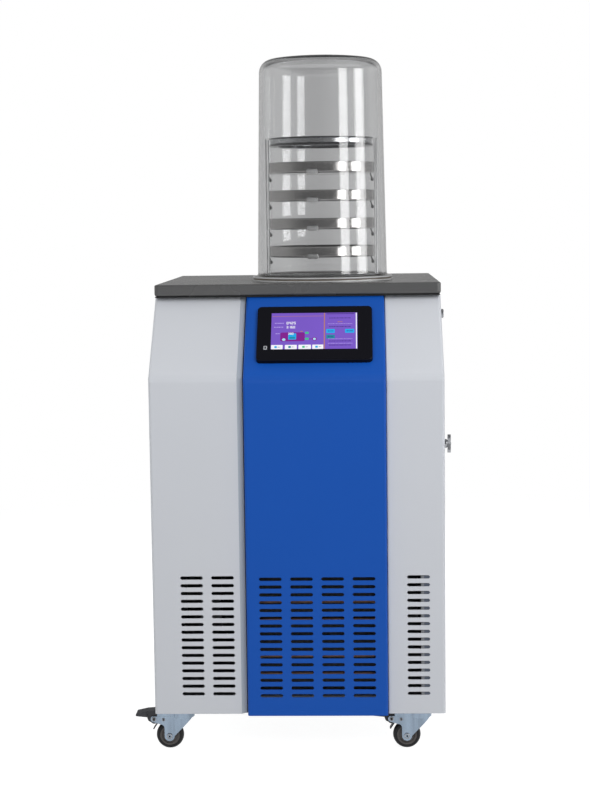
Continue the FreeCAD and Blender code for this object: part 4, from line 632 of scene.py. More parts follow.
def extrude_outline(shape: bmesh.types.BMesh, outline: Sequence[Point], thickness: float,
                    matrix: Matrix, bevel: float = 0.0, material: int = 0) -> None:
    """Add a plate with a given outline, from z = 0 to the thickness in the matrix's axes.

    Args:
        shape: Where the plate is added.
        outline: Its (x, y) corners.
        thickness: Its height along the matrix's Z axis.
        matrix: Its place.
        bevel: How far the rims of the top face are eased.
        material: Index of the material.
    """
    levels = [(0.0, 0.0), (thickness - bevel, 0.0)]
    if bevel:
        levels += [(thickness - bevel * 0.3, bevel * 0.3), (thickness, bevel)]
    loops = []
    for height, inset in levels:
        ring = inset_outline(outline, inset) if inset else outline
        loops.append([shape.verts.new(matrix @ Vector((x, y, height))) for x, y in ring])
    for low, high in zip(loops, loops[1:]):
        for step in range(len(outline)):
            after = (step + 1) % len(outline)
            face = shape.faces.new((low[step], low[after], high[after], high[step]))
            face.material_index = material
    for loop in (loops[0][::-1], loops[-1]):
        shape.faces.new(loop).material_index = material


def inset_outline(outline: Sequence[Point], inset: float) -> list[Point]:
    """Move every side of a closed outline inward.

    Args:
        outline: Corners in anticlockwise order.
        inset: Distance to move each side.

    Returns:
        The moved corners.
    """
    moved = []
    for step, (x, y) in enumerate(outline):
        before = Vector((x - outline[step - 1][0], y - outline[step - 1][1])).normalized()
        after_x, after_y = outline[(step + 1) % len(outline)]
        after = Vector((after_x - x, after_y - y)).normalized()
        normal = Vector((-before.y - after.y, before.x + after.x))
        reach = inset / max(normal.length / 2, 0.3)
        normal.normalize()
        moved.append((x + normal.x * reach, y + normal.y * reach))
    return moved


def arc(x: float, y: float, radius: float, start: float, stop: float, steps: int) -> list[Point]:
    """Points along an arc.

    Args:
        x: Centre.
        y: Centre.
        radius: The arc's radius.
        start: First angle in degrees.
        stop: Last angle in degrees.
        steps: Number of pieces.

    Returns:
        The points, both ends included.
    """
    angles = (math.radians(start + (stop - start) * step / steps) for step in range(steps + 1))
    return [(x + radius * math.cos(angle), y + radius * math.sin(angle)) for angle in angles]


def stretch(start: Point, stop: Point, margin: float = 0.6 * MM) -> list[Point]:
    """Two points just inside the ends of a straight wall, which keep its shading flat.

    Args:
        start: One end of the wall.
        stop: The other end.
        margin: Distance of the new points from the ends.

    Returns:
        The two points, the one near the start first.
    """
    low, high = Vector(start), Vector(stop)
    step = (high - low).normalized() * margin
    return [tuple(low + step), tuple(high - step)]


def rounded_box(x1: float, y1: float, x2: float, y2: float, radius: float, steps: int = 4
                ) -> list[Point]:
    """Anticlockwise outline of a rectangle with round corners.

    Args:
        x1: Left.
        y1: Bottom.
        x2: Right.
        y2: Top.
        radius: Corner radius.
        steps: Pieces of each corner.

    Returns:
        The outline's points.
    """
    corners = ((x2 - radius, y1 + radius, -90), (x2 - radius, y2 - radius, 0),
               (x1 + radius, y2 - radius, 90), (x1 + radius, y1 + radius, 180))
    return [point for x, y, start in corners
            for point in arc(x, y, radius, start, start + 90, steps)]


def circle(x: float, y: float, radius: float, steps: int = 24) -> list[Point]:
    """Anticlockwise outline of a circle."""
    return arc(x, y, radius, 0, 360 * (steps - 1) / steps, steps - 1)


class Side(Enum):
    """The frame's front and rear, each with the turn about X that brings a Z axis onto it."""

    FRONT = 90.0
    REAR = -90.0


FACES: tuple[tuple[int, Side], ...] = ((-1, Side.FRONT), (1, Side.REAR))


def tilt(degrees: float, axis: str) -> Matrix:
    """Turn about one of the axes."""
    return Matrix.Rotation(math.radians(degrees), 4, axis)


def facing(x: float, y: float, z: float, side: Side) -> Matrix:
    """Place whose Z axis points out of the front or the rear."""
    return Matrix.Translation((x, y, z)) @ tilt(side.value, "X")


def upright(node: str, height: float) -> Matrix:
    """Place on a CAD node's own vertical axis, at a height."""
    centre = middle(node)
    return Matrix.Translation((centre.x, centre.y, height))


def in_mm(*points: Point) -> list[Point]:
    """Points given in millimetres, in metres."""
    return [(x * MM, y * MM) for x, y in points]


def middle(node: str) -> Vector:
    """Centre of a CAD node's box."""
    low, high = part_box(node)
    return (low + high) / 2


# ------------------------------------------------------------------ assemblies
@dataclass
class Assembly:
    """A group of pieces that share a palette."""

    palette: Palette
    pieces: list[bpy.types.Object] = field(default_factory=list)

    def build(self) -> None:
        """Make the pieces; each sub-assembly has its own way."""
        raise NotImplementedError

    def add(self, name: str, shape: bmesh.types.BMesh, body: str, slots: Sequence[str],
            replaces: Iterable[str] = (), smooth_angle: float = 35.0) -> None:
        """Finish a piece, dress it, let it ride on a body and keep it.

        Args:
            name: The piece's name.
            shape: Its built shape.
            body: The CAD body that carries it.
            slots: Its materials, the record's slot first.
            replaces: CAD nodes that it stands for.
            smooth_angle: Edges flatter than this many degrees are shaded smooth.
        """
        piece = finish_mesh(name, shape, smooth_angle)
        self.palette.dress(piece, *slots)
        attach(piece, body)
        names = list(replaces)
        if names:
            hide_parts(*names)
        self.pieces.append(piece)


@dataclass
class BellJar(Assembly):
    """Thick clear bell with a round foot ring."""

    wall: float = 8 * MM
    flange: float = 4.5 * MM
    corner: float = 25 * MM
    rise: float = 9 * MM
    shoulder: float = 116 * MM
    foot: float = 123 * MM
    fillet: float = 4 * MM
    rings: tuple[Place, ...] = ((0.5 * MM, 3.6 * MM, 0.05 * MM), (-4.9 * MM, -2.2 * MM, 1.05 * MM))
    ring_depth: float = 1.2 * MM
    ring_ease: float = 0.3 * MM
    segments: int = 160

    def head(self, wall: float, height: float) -> list[Point]:
        """Outline of the head from the side to the top, at a depth inside the outer face.

        Args:
            wall: Depth inside the outer face.
            height: Height of the bell's apex.

        Returns:
            (radius, height) points.
        """
        dome = (self.shoulder**2 + self.rise**2) / (2 * self.rise)
        across = self.shoulder - self.corner
        drop = math.sqrt((dome - self.corner)**2 - across**2)
        lean = math.degrees(math.asin(across / (dome - self.corner)))
        centre = height - dome
        points = arc(across, centre + drop, self.corner - wall, 0, 90 - lean, 14)
        top = arc(0, centre, dome - wall, 90 - lean, 90, 12)
        return points + top[1:]

    def build(self) -> None:
        """Turn the bell's outline and stand it on its seal."""
        low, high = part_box("bell_jar")
        height = high.z - low.z
        rim = (high.x - low.x) / 2
        ease = self.flange * 0.4
        inside = self.foot - self.wall
        profile = [(inside, 0.0), *arc(rim - ease, ease, ease, -90, 0, 4),
                   *arc(rim - ease, self.flange - ease, ease, 0, 90, 4),
                   *arc(self.foot + self.fillet, self.flange + self.fillet, self.fillet,
                        270, 180, 5)]
        head, lining = self.head(0.0, height), self.head(self.wall, height)
        profile += stretch(profile[-1], head[0]) + head + lining[::-1]
        profile += stretch(lining[0], profile[0])
        shape = bmesh.new()
        spin_profile(shape, profile, upright("bell_jar", low.z), self.segments)
        self.add("bell", shape, "cabinet", ["clear_acrylic"], ["bell_jar"], 60)
        self.seat_rings(low.z, rim)

    def seat_rings(self, foot: float, rim: float) -> None:
        """Satin edge of the foot ring, and the satin rim of the trap under the seal.

        Args:
            foot: Height of the bell's foot.
            rim: Radius of its foot ring.
        """
        shape = bmesh.new()
        for low, high, reach in self.rings:
            inner, outer = rim + reach - self.ring_depth, rim + reach
            ring = [(inner, low), (outer, low + self.ring_ease), (outer, high - self.ring_ease),
                    (inner, high)]
            spin_profile(shape, ring, upright("bell_jar", foot), self.segments)
        self.add("seat_rings", shape, "cabinet", ["satin_steel"], smooth_angle=50)


@dataclass
class TrayRack(Assembly):
    """Four trays, the cover disc, and the rods and hooks that carry them."""

    trays: tuple[str, ...] = ("tray_1", "tray_2", "tray_3", "tray_4")
    rod_angles: tuple[float, ...] = (10.0, 170.0, 190.0, 350.0)
    hook_angles: tuple[float, ...] = (12.0, 168.0)
    rod: float = 1.3 * MM
    rod_inset: float = 3.75 * MM
    foot_ring: float = 15.5 * MM
    tray_height: float = 20.7 * MM
    tray_sheet: float = 1 * MM
    tray_bend: float = 3 * MM
    tray_roll: float = 1.1 * MM
    tab_drop: float = 2 * MM
    tab_tall: float = 7 * MM
    tab_half: float = 10 * MM
    tab_thick: float = 1.7 * MM
    tab_turn: float = -8.4
    tab_lean: float = 14.0
    disc_waist: float = 2.6 * MM
    disc_crown: float = 3.2 * MM
    disc_foot: float = 4.4 * MM
    disc_top: float = 12 * MM
    disc_under: float = 16 * MM
    disc_lap: float = 0.2 * MM
    hook_drop: float = 12 * MM
    hook_lean: float = 20.0
    segments: int = 128

    def build(self) -> None:
        """Make each tray, the disc, the rods and the hooks."""
        for name in self.trays:
            self.tray(name)
        self.cover_disc()
        self.rods()
        self.hooks()

    def tray(self, node: str) -> None:
        """A shallow round tray with a rolled rim and a pull tab.

        Args:
            node: The CAD tray that it stands for.
        """
        low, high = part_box(node)
        floor, tall = low.z + self.tab_drop, self.tray_height
        sheet, bend, roll = self.tray_sheet, self.tray_bend, self.tray_roll
        outer = (high.x - low.x) / 2
        corner = arc(outer - bend, bend, bend, -90, 0, 5)
        shoulder = (outer - 0.2 * MM, tall - 2.4 * MM)
        profile = [(0.0, 0.0), *corner, *stretch(corner[-1], shoulder), shoulder,
                   *arc(outer - roll, tall - roll, roll, 0, 180, 8),
                   (outer - sheet, tall - 3.2 * MM),
                   *arc(outer - bend, bend, bend - sheet, 0, -90, 5), (0.0, sheet)]
        shape = bmesh.new()
        spin_profile(shape, profile, upright("bell_jar", floor), self.segments)
        place = (upright("bell_jar", floor) @ tilt(self.tab_turn, "Z")
                 @ facing(0, 0.4 * MM - outer, 0, Side.FRONT) @ tilt(self.tab_lean, "X"))
        tab = rounded_box(-self.tab_half, -self.tab_drop, self.tab_half, self.tab_tall, 2.5 * MM)
        extrude_outline(shape, tab, self.tab_thick, place, 0.7 * MM, 1)
        self.add(f"{node}_pressed", shape, "cabinet", ["tray_steel", "tab_steel"], [node])

    def cover_disc(self) -> None:
        """The rack's cover disc: a bright waist between two flared rims whose near-black steel is a
        painted dark reflection.
        """
        low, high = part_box("rack_top_plate")
        tall, rim, lap = high.z - low.z, (high.x - low.x) / 2, self.disc_lap
        waist, crown = rim - self.disc_waist, tall - self.disc_crown
        inside, under, foot = rim - self.disc_top, rim - self.disc_under, self.disc_foot
        core, face = waist - 2 * MM, tall - lap / 2
        band = ((waist - lap, foot - lap), (waist - lap, crown + lap))
        dark_top = [(inside, crown), (waist, crown), (rim - 0.3 * MM, tall - 1.6 * MM),
                    *arc(rim - 0.8 * MM, tall - 0.8 * MM, 0.8 * MM, 0, 90, 4), (inside, tall)]
        dark_foot = [(under, 0.0), *arc(rim - 1.6 * MM, 1.2 * MM, 1.2 * MM, -90, 30, 5),
                     (waist, foot), (under, foot)]
        bright = [(0.0, crown + lap), (core, crown + lap), (core, foot - lap), band[0],
                  *stretch(*band), band[1], (inside, face), (0.0, face)]
        shape = bmesh.new()
        for profile, material in ((dark_top, 1), (dark_foot, 1), (bright, 0)):
            spin_profile(shape, profile, upright("bell_jar", low.z), self.segments,
                         material=material)
        self.add("cover_disc", shape, "cabinet", ["rack_steel", "rim_dark_reflection"],
                 ["rack_top_plate"], 25)

    def rods(self) -> None:
        """Foot ring and polished rods of the rack."""
        low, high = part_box("tray_rack")
        place = upright("bell_jar", low.z)
        outer = (high.x - low.x) / 2
        inner = outer - self.foot_ring
        ease = 1.4 * MM
        ring = [*arc(outer - ease, ease, ease, -90, 90, 8),
                *arc(inner + ease, ease, ease, 90, 270, 8)]
        shape = bmesh.new()
        spin_profile(shape, ring, place, self.segments)
        reach = outer - self.rod_inset
        tall = high.z - low.z
        rod = [(0.0, 0.5 * MM), (self.rod, 0.5 * MM), (self.rod, tall - 0.6 * MM),
               (self.rod - 0.6 * MM, tall), (0.0, tall)]
        for angle in self.rod_angles:
            turn = math.radians(angle)
            spot = Matrix.Translation((reach * math.cos(turn), reach * math.sin(turn), 0))
            spin_profile(shape, rod, place @ spot, 20)
        self.add("rack_rods", shape, "cabinet", ["rod_steel"], ["tray_rack"], 50)

    def hooks(self) -> None:
        """Black hooks with a bead, hung from each tray's edge on both sides."""
        bead = in_mm((0.0, 0.0), (2.0, 0.5), (3.3, 2.4), (3.0, 4.8), (1.7, 7.0), (1.3, 9.0),
                     (1.2, 15.5), (0.0, 16.0))
        shape = bmesh.new()
        for node in self.trays:
            low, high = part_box(node)
            edge = (high.x - low.x) / 2
            for angle in self.hook_angles:
                lean = -self.hook_lean if angle < 90 else self.hook_lean
                place = (upright("bell_jar", low.z - self.hook_drop) @ tilt(angle, "Z")
                         @ Matrix.Translation((edge + 0.5 * MM, 0, 0)) @ tilt(lean, "Y"))
                spin_profile(shape, bead, place, 16)
        self.add("tray_hooks", shape, "cabinet", ["black_rubber"], smooth_angle=50)


@dataclass(frozen=True)
class Area:
    """A flat coloured shape of the screen, in millimetres from its lower left corner."""

    slot: str
    outline: tuple[Point, ...]
    layer: int = 1


def bar(slot: str, x: float, y: float, width: float, height: float, radius: float = 0.4,
        layer: int = 1) -> Area:
    """A rectangle of the screen."""
    outline = rounded_box(x, y, x + width, y + height, radius, 3)
    return Area(slot, tuple(outline), layer)


DASHES = (2.4, 1.3, 1.9, 3.1, 1.6)
DASH_GAP = 0.7
SHORTEST_DASH = 0.8


def dashes(slot: str, x: float, y: float, width: float, height: float, layer: int = 1
           ) -> list[Area]:
    """A line of short marks of uneven length, like a word seen from afar."""
    marks: list[Area] = []
    start, stop = x, x + width
    while start < stop - SHORTEST_DASH:
        length = min(DASHES[len(marks) % len(DASHES)], stop - start)
        marks.append(bar(slot, start, y, length, height, 0.3, layer))
        start += length + DASH_GAP
    return marks


SEGMENTS: dict[str, tuple[float, float, float, float]] = {
    "top": (0.0, 0.84, 0.56, 0.16), "middle": (0.0, 0.42, 0.56, 0.16),
    "foot": (0.0, 0.0, 0.56, 0.16),
    "high left": (0.0, 0.42, 0.16, 0.58), "high right": (0.40, 0.42, 0.16, 0.58),
    "low left": (0.0, 0.0, 0.16, 0.58), "low right": (0.40, 0.0, 0.16, 0.58)}
LEFT_OUT: dict[int, tuple[str, ...]] = {
    0: ("middle",), 1: ("top", "middle", "foot", "high left", "low left"),
    2: ("high left", "low right"), 3: ("high left", "low left"), 4: ("top", "foot", "low left"),
    5: ("high right", "low left"), 6: ("high right",), 8: ()}


def numeral(slot: str, x: float, y: float, tall: float, digit: int) -> list[Area]:
    """A digit of straight strokes.

    Args:
        slot: Its colour.
        x: Left edge.
        y: Foot.
        tall: Its height.
        digit: The digit's value.

    Returns:
        Its strokes.
    """
    return [bar(slot, x + left * tall, y + foot * tall, width * tall, height * tall, 0.2, 3)
            for name, (left, foot, width, height) in SEGMENTS.items()
            if name not in LEFT_OUT[digit]]


@dataclass
class Display(Assembly):
    """Sloped touch screen: lit graphics, and the lens beside it."""

    slope: float = math.degrees(math.atan2(135, 137))
    glass: float = 3 * MM
    layer_step: float = 0.04 * MM
    film: float = 0.02 * MM

    def corner(self) -> Matrix:
        """Place of the screen's lower left corner, its Z axis out of the glass."""
        low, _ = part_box("display_screen")
        lean = tilt(self.slope, "X")
        rise = (lean @ Vector((0, 0, self.glass))).z
        return Matrix.Translation(low + Vector((0, 0, rise))) @ lean

    def build(self) -> None:
        """Lay the lit shapes on the glass."""
        shape = bmesh.new()
        slots: list[str] = ["screen_glass"]
        corner = self.corner()
        shapes = self.frame_lines() + self.tabs() + self.readings() + self.plant() + self.column()
        for area in shapes:
            if area.slot not in slots:
                slots.append(area.slot)
            lift = Matrix.Translation((0, 0, area.layer * self.layer_step))
            extrude_outline(shape, in_mm(*area.outline), self.film, corner @ lift,
                            material=slots.index(area.slot))
        self.add("screen_graphics", shape, "cabinet", slots, smooth_angle=10)
        self.lens()

    @staticmethod
    def frame_lines() -> list[Area]:
        """Long coloured lines that divide the screen."""
        return [bar("screen_orange", 93.5, 0.5, 1.8, 85),
                bar("screen_white", 150.3, 0.6, 1.9, 84.8),
                bar("screen_orange", 1.2, 78, 91.3, 0.8),
                bar("screen_dark", 97.7, 82.6, 50, 1.4)]

    @staticmethod
    def tabs() -> list[Area]:
        """White tabs along the bottom, each with a small coloured sign."""
        shapes = []
        signs = ("screen_cyan", "screen_teal", "screen_green", "screen_cyan")
        for (x, width), sign in zip(((0.7, 20.3), (25.0, 21.0), (49.0, 22.0), (73.3, 19.4)), signs):
            shapes.append(bar("screen_white", x, 0.6, width, 9.9, 0.8))
            shapes.append(bar(sign, x + width / 2 - 4.5, 3.2, 4.6, 4.8, 1.2, layer=2))
            shapes += dashes("screen_dark", x + width / 2 + 1.5, 4.9, 5.0, 1.2, layer=2)
        return shapes

    @staticmethod
    def readings() -> list[Area]:
        """Label lines, each with a row of white digits."""
        shapes = []
        for x, y, tall, digits in ((27.0, 59.0, 6.0, (0, 4, 2, 5)), (27.0, 49.4, 5.6, (3, 1, 6, 0)),
                                   (30.5, 34.4, 4.6, (2, 8, 0))):
            for place, digit in enumerate(digits):
                shapes += numeral("screen_white", x + place * tall * 0.72, y, tall, digit)
        for x, y, width in ((6.0, 61.0, 16.0), (5.0, 51.6, 17.0), (8.0, 36.2, 8.0)):
            shapes += dashes("screen_lilac", x, y, width, 1.8)
        return shapes

    @staticmethod
    def plant() -> list[Area]:
        """Sketch of a machine: a vessel with a window, valves, a pump and a pipe."""
        return [bar("screen_magenta", 16.4, 19.0, 43.3, 20.8, 3.0),
                bar("screen_cyan", 30.5, 23.0, 14.0, 14.5, 1.0, layer=2),
                bar("screen_teal", 32.5, 25.0, 10.0, 4.0, 1.0, layer=3),
                Area("screen_pale", tuple(circle(22.7, 23.0, 3.0)), 2),
                bar("screen_green", 60.0, 36.0, 7.0, 5.0, 2.0),
                bar("screen_green", 60.0, 22.0, 7.0, 5.0, 2.0),
                bar("screen_magenta", 67.0, 23.4, 7.0, 1.4),
                bar("screen_orange", 52.0, 41.0, 4.0, 2.0),
                Area("screen_magenta", tuple(circle(77.0, 24.0, 4.2)), 1),
                Area("screen_pale", tuple(circle(77.0, 24.0, 2.6)), 2)]

    @staticmethod
    def column() -> list[Area]:
        """Buttons and lines of text on the right."""
        shapes = []
        for y in (72.4, 51.8, 17.8, 8.3):
            shapes += dashes("screen_dark", 103.0, y, 38.0, 1.6)
        for y in (59.0, 23.4, 12.6):
            shapes += dashes("screen_lilac", 101.0, y, 43.0, 1.0)
        shapes += dashes("screen_orange", 118.0, 63.2, 8.5, 1.8)
        for x, y, width, tall, slot in ((97.7, 37.6, 15.3, 9.4, "screen_cyan"),
                                        (131.0, 37.6, 16.6, 9.4, "screen_cyan"),
                                        (97.7, 24.5, 15.3, 8.9, "screen_teal")):
            shapes.append(bar(slot, x, y, width, tall, 1.0))
            shapes += dashes("screen_dark", x + 3.0, y + tall / 2 - 0.8, width - 6.0, 1.6, layer=2)
        return shapes

    def lens(self) -> None:
        """Small upright lens beside the screen."""
        place = Matrix.Translation(middle("status_light")) @ tilt(self.slope, "X")
        shape = bmesh.new()
        rim = in_mm(*rounded_box(-3.1, -4.4, 3.1, 4.4, 1.4))
        glass = in_mm(*rounded_box(-1.5, -2.6, 1.5, 2.6, 0.8))
        extrude_outline(shape, rim, 1.75 * MM, place, 0.25 * MM, 0)
        extrude_outline(shape, glass, 1.9 * MM, place, 0.1 * MM, 1)
        self.add("status_lens", shape, "cabinet", ["light_lens", "black_plastic"],
                 ["status_light"])


@dataclass
class Cabinet(Assembly):
    """The cabinet's trims and small fittings: the seam with its painted shade and shadow, painted
    shade at the right post, a painted shadow under the worktop, screws and switch marks.
    """

    front: float = -320 * MM
    foot: float = 81 * MM
    bend: float = FOLD_HEIGHT
    top: float = 819 * MM
    run: float = 137 * MM
    rise: float = 135 * MM
    post: Point = (222.5 * MM, 236 * MM)
    post_top: float = 659 * MM
    # Size of the black strip that paints the shadow under the worktop.
    gap_shadow_edge: float = 1.5 * MM
    gap_shadow_depth: float = 20 * MM
    gap_shadow_tall: float = 1.6 * MM
    screw_inset: float = 9 * MM
    screw_rows: int = 5
    mark_inset: float = 5.2 * MM
    rocker_lean: float = 10.0
    rocker_dip: dict[int, float] = field(default_factory=lambda: {1: 1.6 * MM, -1: 5.4 * MM})

    def build(self) -> None:
        """Lay the trims on the covers."""
        self.seam_trim()
        self.post_painted_shade()
        self.worktop_gap_shadow()
        self.rear_screws()
        self.switch_marks()

    def worktop_gap_shadow(self) -> None:
        """Black strip under the worktop's front edge: a painted shadow in the slit there."""
        low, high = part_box("worktop")
        outline = rounded_box(low.x + self.gap_shadow_edge, low.y + 0.5 * MM, high.x - self.gap_shadow_edge,
                              low.y + self.gap_shadow_depth, 1 * MM, 2)
        shape = bmesh.new()
        foot = Matrix.Translation((0, 0, low.z - self.gap_shadow_tall - 0.1 * MM))
        extrude_outline(shape, outline, self.gap_shadow_tall, foot)
        self.add("worktop_gap_shadow", shape, "cabinet", ["black_rubber"])

    def station(self, x: float, depth: float) -> list[Vector]:
        """Three points of a line that follows the front and the slope at a depth behind them.

        Args:
            x: The line's place across.
            depth: How far it lies behind the skin.

        Returns:
            Its foot, its bend and its top.
        """
        length = math.hypot(self.run, self.rise)
        wall = self.front + depth
        return [Vector((x, wall, self.foot)),
                Vector((x, wall, self.bend - depth * (length - self.rise) / self.run)),
                Vector((x, self.front + self.run + depth * length / self.rise, self.top))]

    def seam_trim(self) -> None:
        """Bevel strip on the left cover's inner edge, up the front and the slope: its grey is
        painted shade from the proud blue panel, and its black side is a painted shadow in the gap
        beside the panel.
        """
        section = ((-104.2, -0.05), (-94.5, 3.2), (-92.7, 5.5), (-92.7, 10.9),
                   (-93.2, 10.9), (-93.2, 5.7), (-94.7, 3.7), (-104.2, 0.45))
        shape = bmesh.new()
        lines = [[shape.verts.new(point) for point in self.station(x * MM, depth * MM)]
                 for x, depth in section]
        for step, (left, right) in enumerate(zip(lines, lines[1:] + lines[:1])):
            for low in (0, 1):
                face = shape.faces.new((left[low], right[low], right[low + 1], left[low + 1]))
                # Bevel faces take the grey painted shade, the others the black painted shadow of
                # the gap.
                face.material_index = 0 if step in (0, len(section) - 1) else 1
        for end in (0, 2):
            shape.faces.new([line[end] for line in lines]).material_index = 1
        self.add("seam_trim", shape, "cabinet", ["seam_painted_shade", "black_rubber"], smooth_angle=10)

    def post_painted_shade(self) -> None:
        """Dark sheet in front of the right post, seen in the gap between the panels: painted shade.
        """
        shape = bmesh.new()
        left, right = self.post
        outline = rounded_box(left, self.foot, right, self.post_top, 1 * MM, 2)
        place = facing(0, self.front + 1.95 * MM, 0, Side.FRONT)
        extrude_outline(shape, outline, 0.4 * MM, place)
        self.add("post_painted_shade", shape, "cabinet", ["painted_recess_shade"])

    def rear_screws(self) -> None:
        """Pan-head screws round the rear panel's rim, each with a black cross that is painted shade
        in its recess.
        """
        low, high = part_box("rear_panel")
        inset = self.screw_inset
        head = in_mm((0.0, 0.0), (3.6, 0.0), (3.384, 0.9), (2.16, 1.6), (0.0, 1.9))
        # Black cross strokes: painted shade in each screw's recess.
        strokes = [in_mm(*rounded_box(-across, -along, across, along, 0.2, 2))
                   for across, along in ((1.8, 0.4), (0.4, 1.8))]
        lift = Matrix.Translation((0, 0, 1.5 * MM))
        shape = bmesh.new()
        for x in (low.x + inset, high.x - inset):
            for row in range(self.screw_rows):
                part = row / (self.screw_rows - 1)
                z = low.z + inset + (high.z - low.z - 2 * inset) * part
                place = facing(x, high.y, z, Side.REAR)
                spin_profile(shape, head, place, 20)
                for stroke in strokes:
                    extrude_outline(shape, stroke, 0.45 * MM, place @ lift, material=1)
        self.add("rear_screws", shape, "cabinet", ["screw_steel", "black_rubber"])

    def switch_marks(self) -> None:
        """White stroke and ring moulded on the two ends of the rocker."""
        low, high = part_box("rocker_switch")
        stroke = in_mm(*rounded_box(-0.4, -2.2, 0.4, 2.2, 0.3, 2))
        ring = in_mm((1.5, 0.0), (2.2, 0.0), (2.2, 0.15), (1.5, 0.15))
        ends = ((1, high.z - self.mark_inset), (-1, low.z + self.mark_inset))
        upper, lower = (facing(middle("rocker_switch").x, high.y - self.rocker_dip[end], reach,
                               Side.REAR) @ tilt(end * self.rocker_lean, "X")
                        for end, reach in ends)
        shape = bmesh.new()
        extrude_outline(shape, stroke, 0.15 * MM, upper)
        spin_profile(shape, ring, lower, 24)
        self.add("switch_marks", shape, "rocker", ["marking_white"])


@dataclass
class Casters(Assembly):
    """Forks' skirts, rivets and axle ends, and the moulded brake pedals."""

    sheet: float = 2.5 * MM
    half: float = 15 * MM
    nose: float = 19 * MM
    foot: float = 61.9 * MM
    brow: float = 69.5 * MM
    offset: float = 21 * MM
    tail: float = 34 * MM
    braked_tail: float = 46 * MM
    pin: Point = (52 * MM, 57 * MM)
    rivet: Point = (34.5 * MM, 56 * MM)
    wheels: tuple[str, ...] = ("front_left", "front_right", "rear_left", "rear_right")
    braked: tuple[str, ...] = ("front_left", "front_right")

    def build(self) -> None:
        """Finish each caster."""
        for name in self.wheels:
            self.skirt(name)
            self.axle_ends(name)
        for name in self.braked:
            self.rivets(name)
            self.pedal(name)

    def king(self, name: str) -> Vector:
        """Foot of a caster's kingpin on the floor."""
        low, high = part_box(f"fork_{name}")
        return Vector((high.x - self.offset, (low.y + high.y) / 2, 0.0))

    def skirt(self, name: str) -> None:
        """Upright band round the top of a fork, rounded at the nose.

        Args:
            name: The caster's place.
        """
        tail = -self.braked_tail if name in self.braked else -self.tail
        centre = self.nose - self.half
        outer = arc(centre, 0, self.half, -90, 90, 20)
        inner = arc(centre, 0, self.half - self.sheet, 90, -90, 20)
        outline = [(tail, -self.half), *outer, (tail, self.half),
                   (tail, self.half - self.sheet), *inner, (tail, self.sheet - self.half)]
        shape = bmesh.new()
        place = Matrix.Translation(self.king(name) + Vector((0, 0, self.foot)))
        extrude_outline(shape, outline, self.brow - self.foot, place)
        self.add(f"skirt_{name}", shape, f"fork_{name}", ["caster_zinc"])

    def axle_ends(self, name: str) -> None:
        """Bright rolled ends of the axle, each with a black disc inside that is painted shade in
        its hollow.

        Args:
            name: The caster's place.
        """
        centre, king = middle(f"tyre_{name}"), self.king(name)
        ring = in_mm((2.5, 0.0), (5.3, 0.0), (5.4, 1.0), (4.9, 1.75), (3.6, 1.75), (2.9, 1.2))
        hollow_shade = in_mm((0.0, 0.0), (2.7, 0.0), (2.7, 1.25), (0.0, 1.0))
        shape = bmesh.new()
        for side, direction in FACES:
            place = facing(centre.x, king.y + side * (self.half + 0.1 * MM), centre.z, direction)
            spin_profile(shape, ring, place, 32)
            spin_profile(shape, hollow_shade, place, 32, material=1)
        self.add(f"axle_ends_{name}", shape, f"fork_{name}", ["screw_steel", "black_rubber"])

    def rivets(self, name: str) -> None:
        """Ring round the pedal's pin and a rivet beside it, on both faces of the fork; the rivet's
        dark core is painted shade in its hollow.

        Args:
            name: The caster's place.
        """
        ring = in_mm((2.2, 0.0), (4.3, 0.0), (4.1, 0.6), (3.3, 0.9), (2.4, 0.6))
        collar = in_mm((1.7, 0.0), (3.3, 0.0), (3.1, 0.7), (2.4, 1.0), (1.8, 0.6))
        core = in_mm((0.0, 0.0), (1.9, 0.0), (1.9, 0.45), (0.0, 0.45))
        shape = bmesh.new()
        for side, direction in FACES:
            for profile, spot, material in ((ring, self.pin, 0), (collar, self.rivet, 0),
                                            (core, self.rivet, 1)):
                place = self.on_fork(name, spot, side * self.half, direction)
                spin_profile(shape, profile, place, 24, material=material)
        self.add(f"fork_rivets_{name}", shape, f"fork_{name}", ["screw_steel", "painted_recess_shade"])

    def on_fork(self, name: str, spot: Point, across: float, direction: Side) -> Matrix:
        """Place on a fork.

        Args:
            name: The caster's place.
            spot: How far behind the kingpin and how high it lies.
            across: Its distance from the fork's middle.
            direction: Where its Z axis points.

        Returns:
            The place.
        """
        king = self.king(name)
        back, height = spot
        return facing(king.x - back, king.y + across, height, direction)

    def pedal(self, name: str) -> None:
        """Moulded brake pedal: a wide blunt blade, a hub between the legs and a thin brake strut.

        Args:
            name: The caster's place.
        """
        blade = [(-12.5, 3.0), (-12.5, 13.6), *arc(-31.4, 7.3, 2.1, 100, 180, 5),
                 *arc(-31.4, 7.0, 2.1, 180, 265, 5)]
        hub = [(-12.5, 1.0), (-10.5, -4.0), *arc(0.0, -3.0, 6.6, 215, 330, 8), (6.6, 0.0),
               (5.0, 9.0), (0.5, 15.2), (-12.5, 14.2)]
        strut = [(6.0, -7.0), (-2.9, -20.6), (-1.3, -21.6), (7.6, -8.2)]
        shape = bmesh.new()
        for outline, half, ease in ((blade, 14.5 * MM, 0.9 * MM), (hub, 11.8 * MM, 0.0),
                                    (strut, 7 * MM, 0.0)):
            place = self.on_fork(name, self.pin, half, Side.FRONT)
            extrude_outline(shape, in_mm(*outline), 2 * half, place, ease)
        pin = in_mm((0.0, 0.0), (2.1, 0.0), (2.1, 31.4), (0.0, 31.6))
        spin_profile(shape, pin, self.on_fork(name, self.pin, 15.8 * MM, Side.FRONT), 20)
        self.add(f"brake_pedal_{name}", shape, f"pedal_{name}", ["pedal_plastic"],
                 [f"pedal_{name}"], 40)


# ------------------------------------------------------------------ stage
@dataclass(frozen=True)
class Card:
    """A bright card that only metal and glass show: where it stands and how bright it is."""

    turn: float
    spread: float
    low: float
    high: float
    glow: float


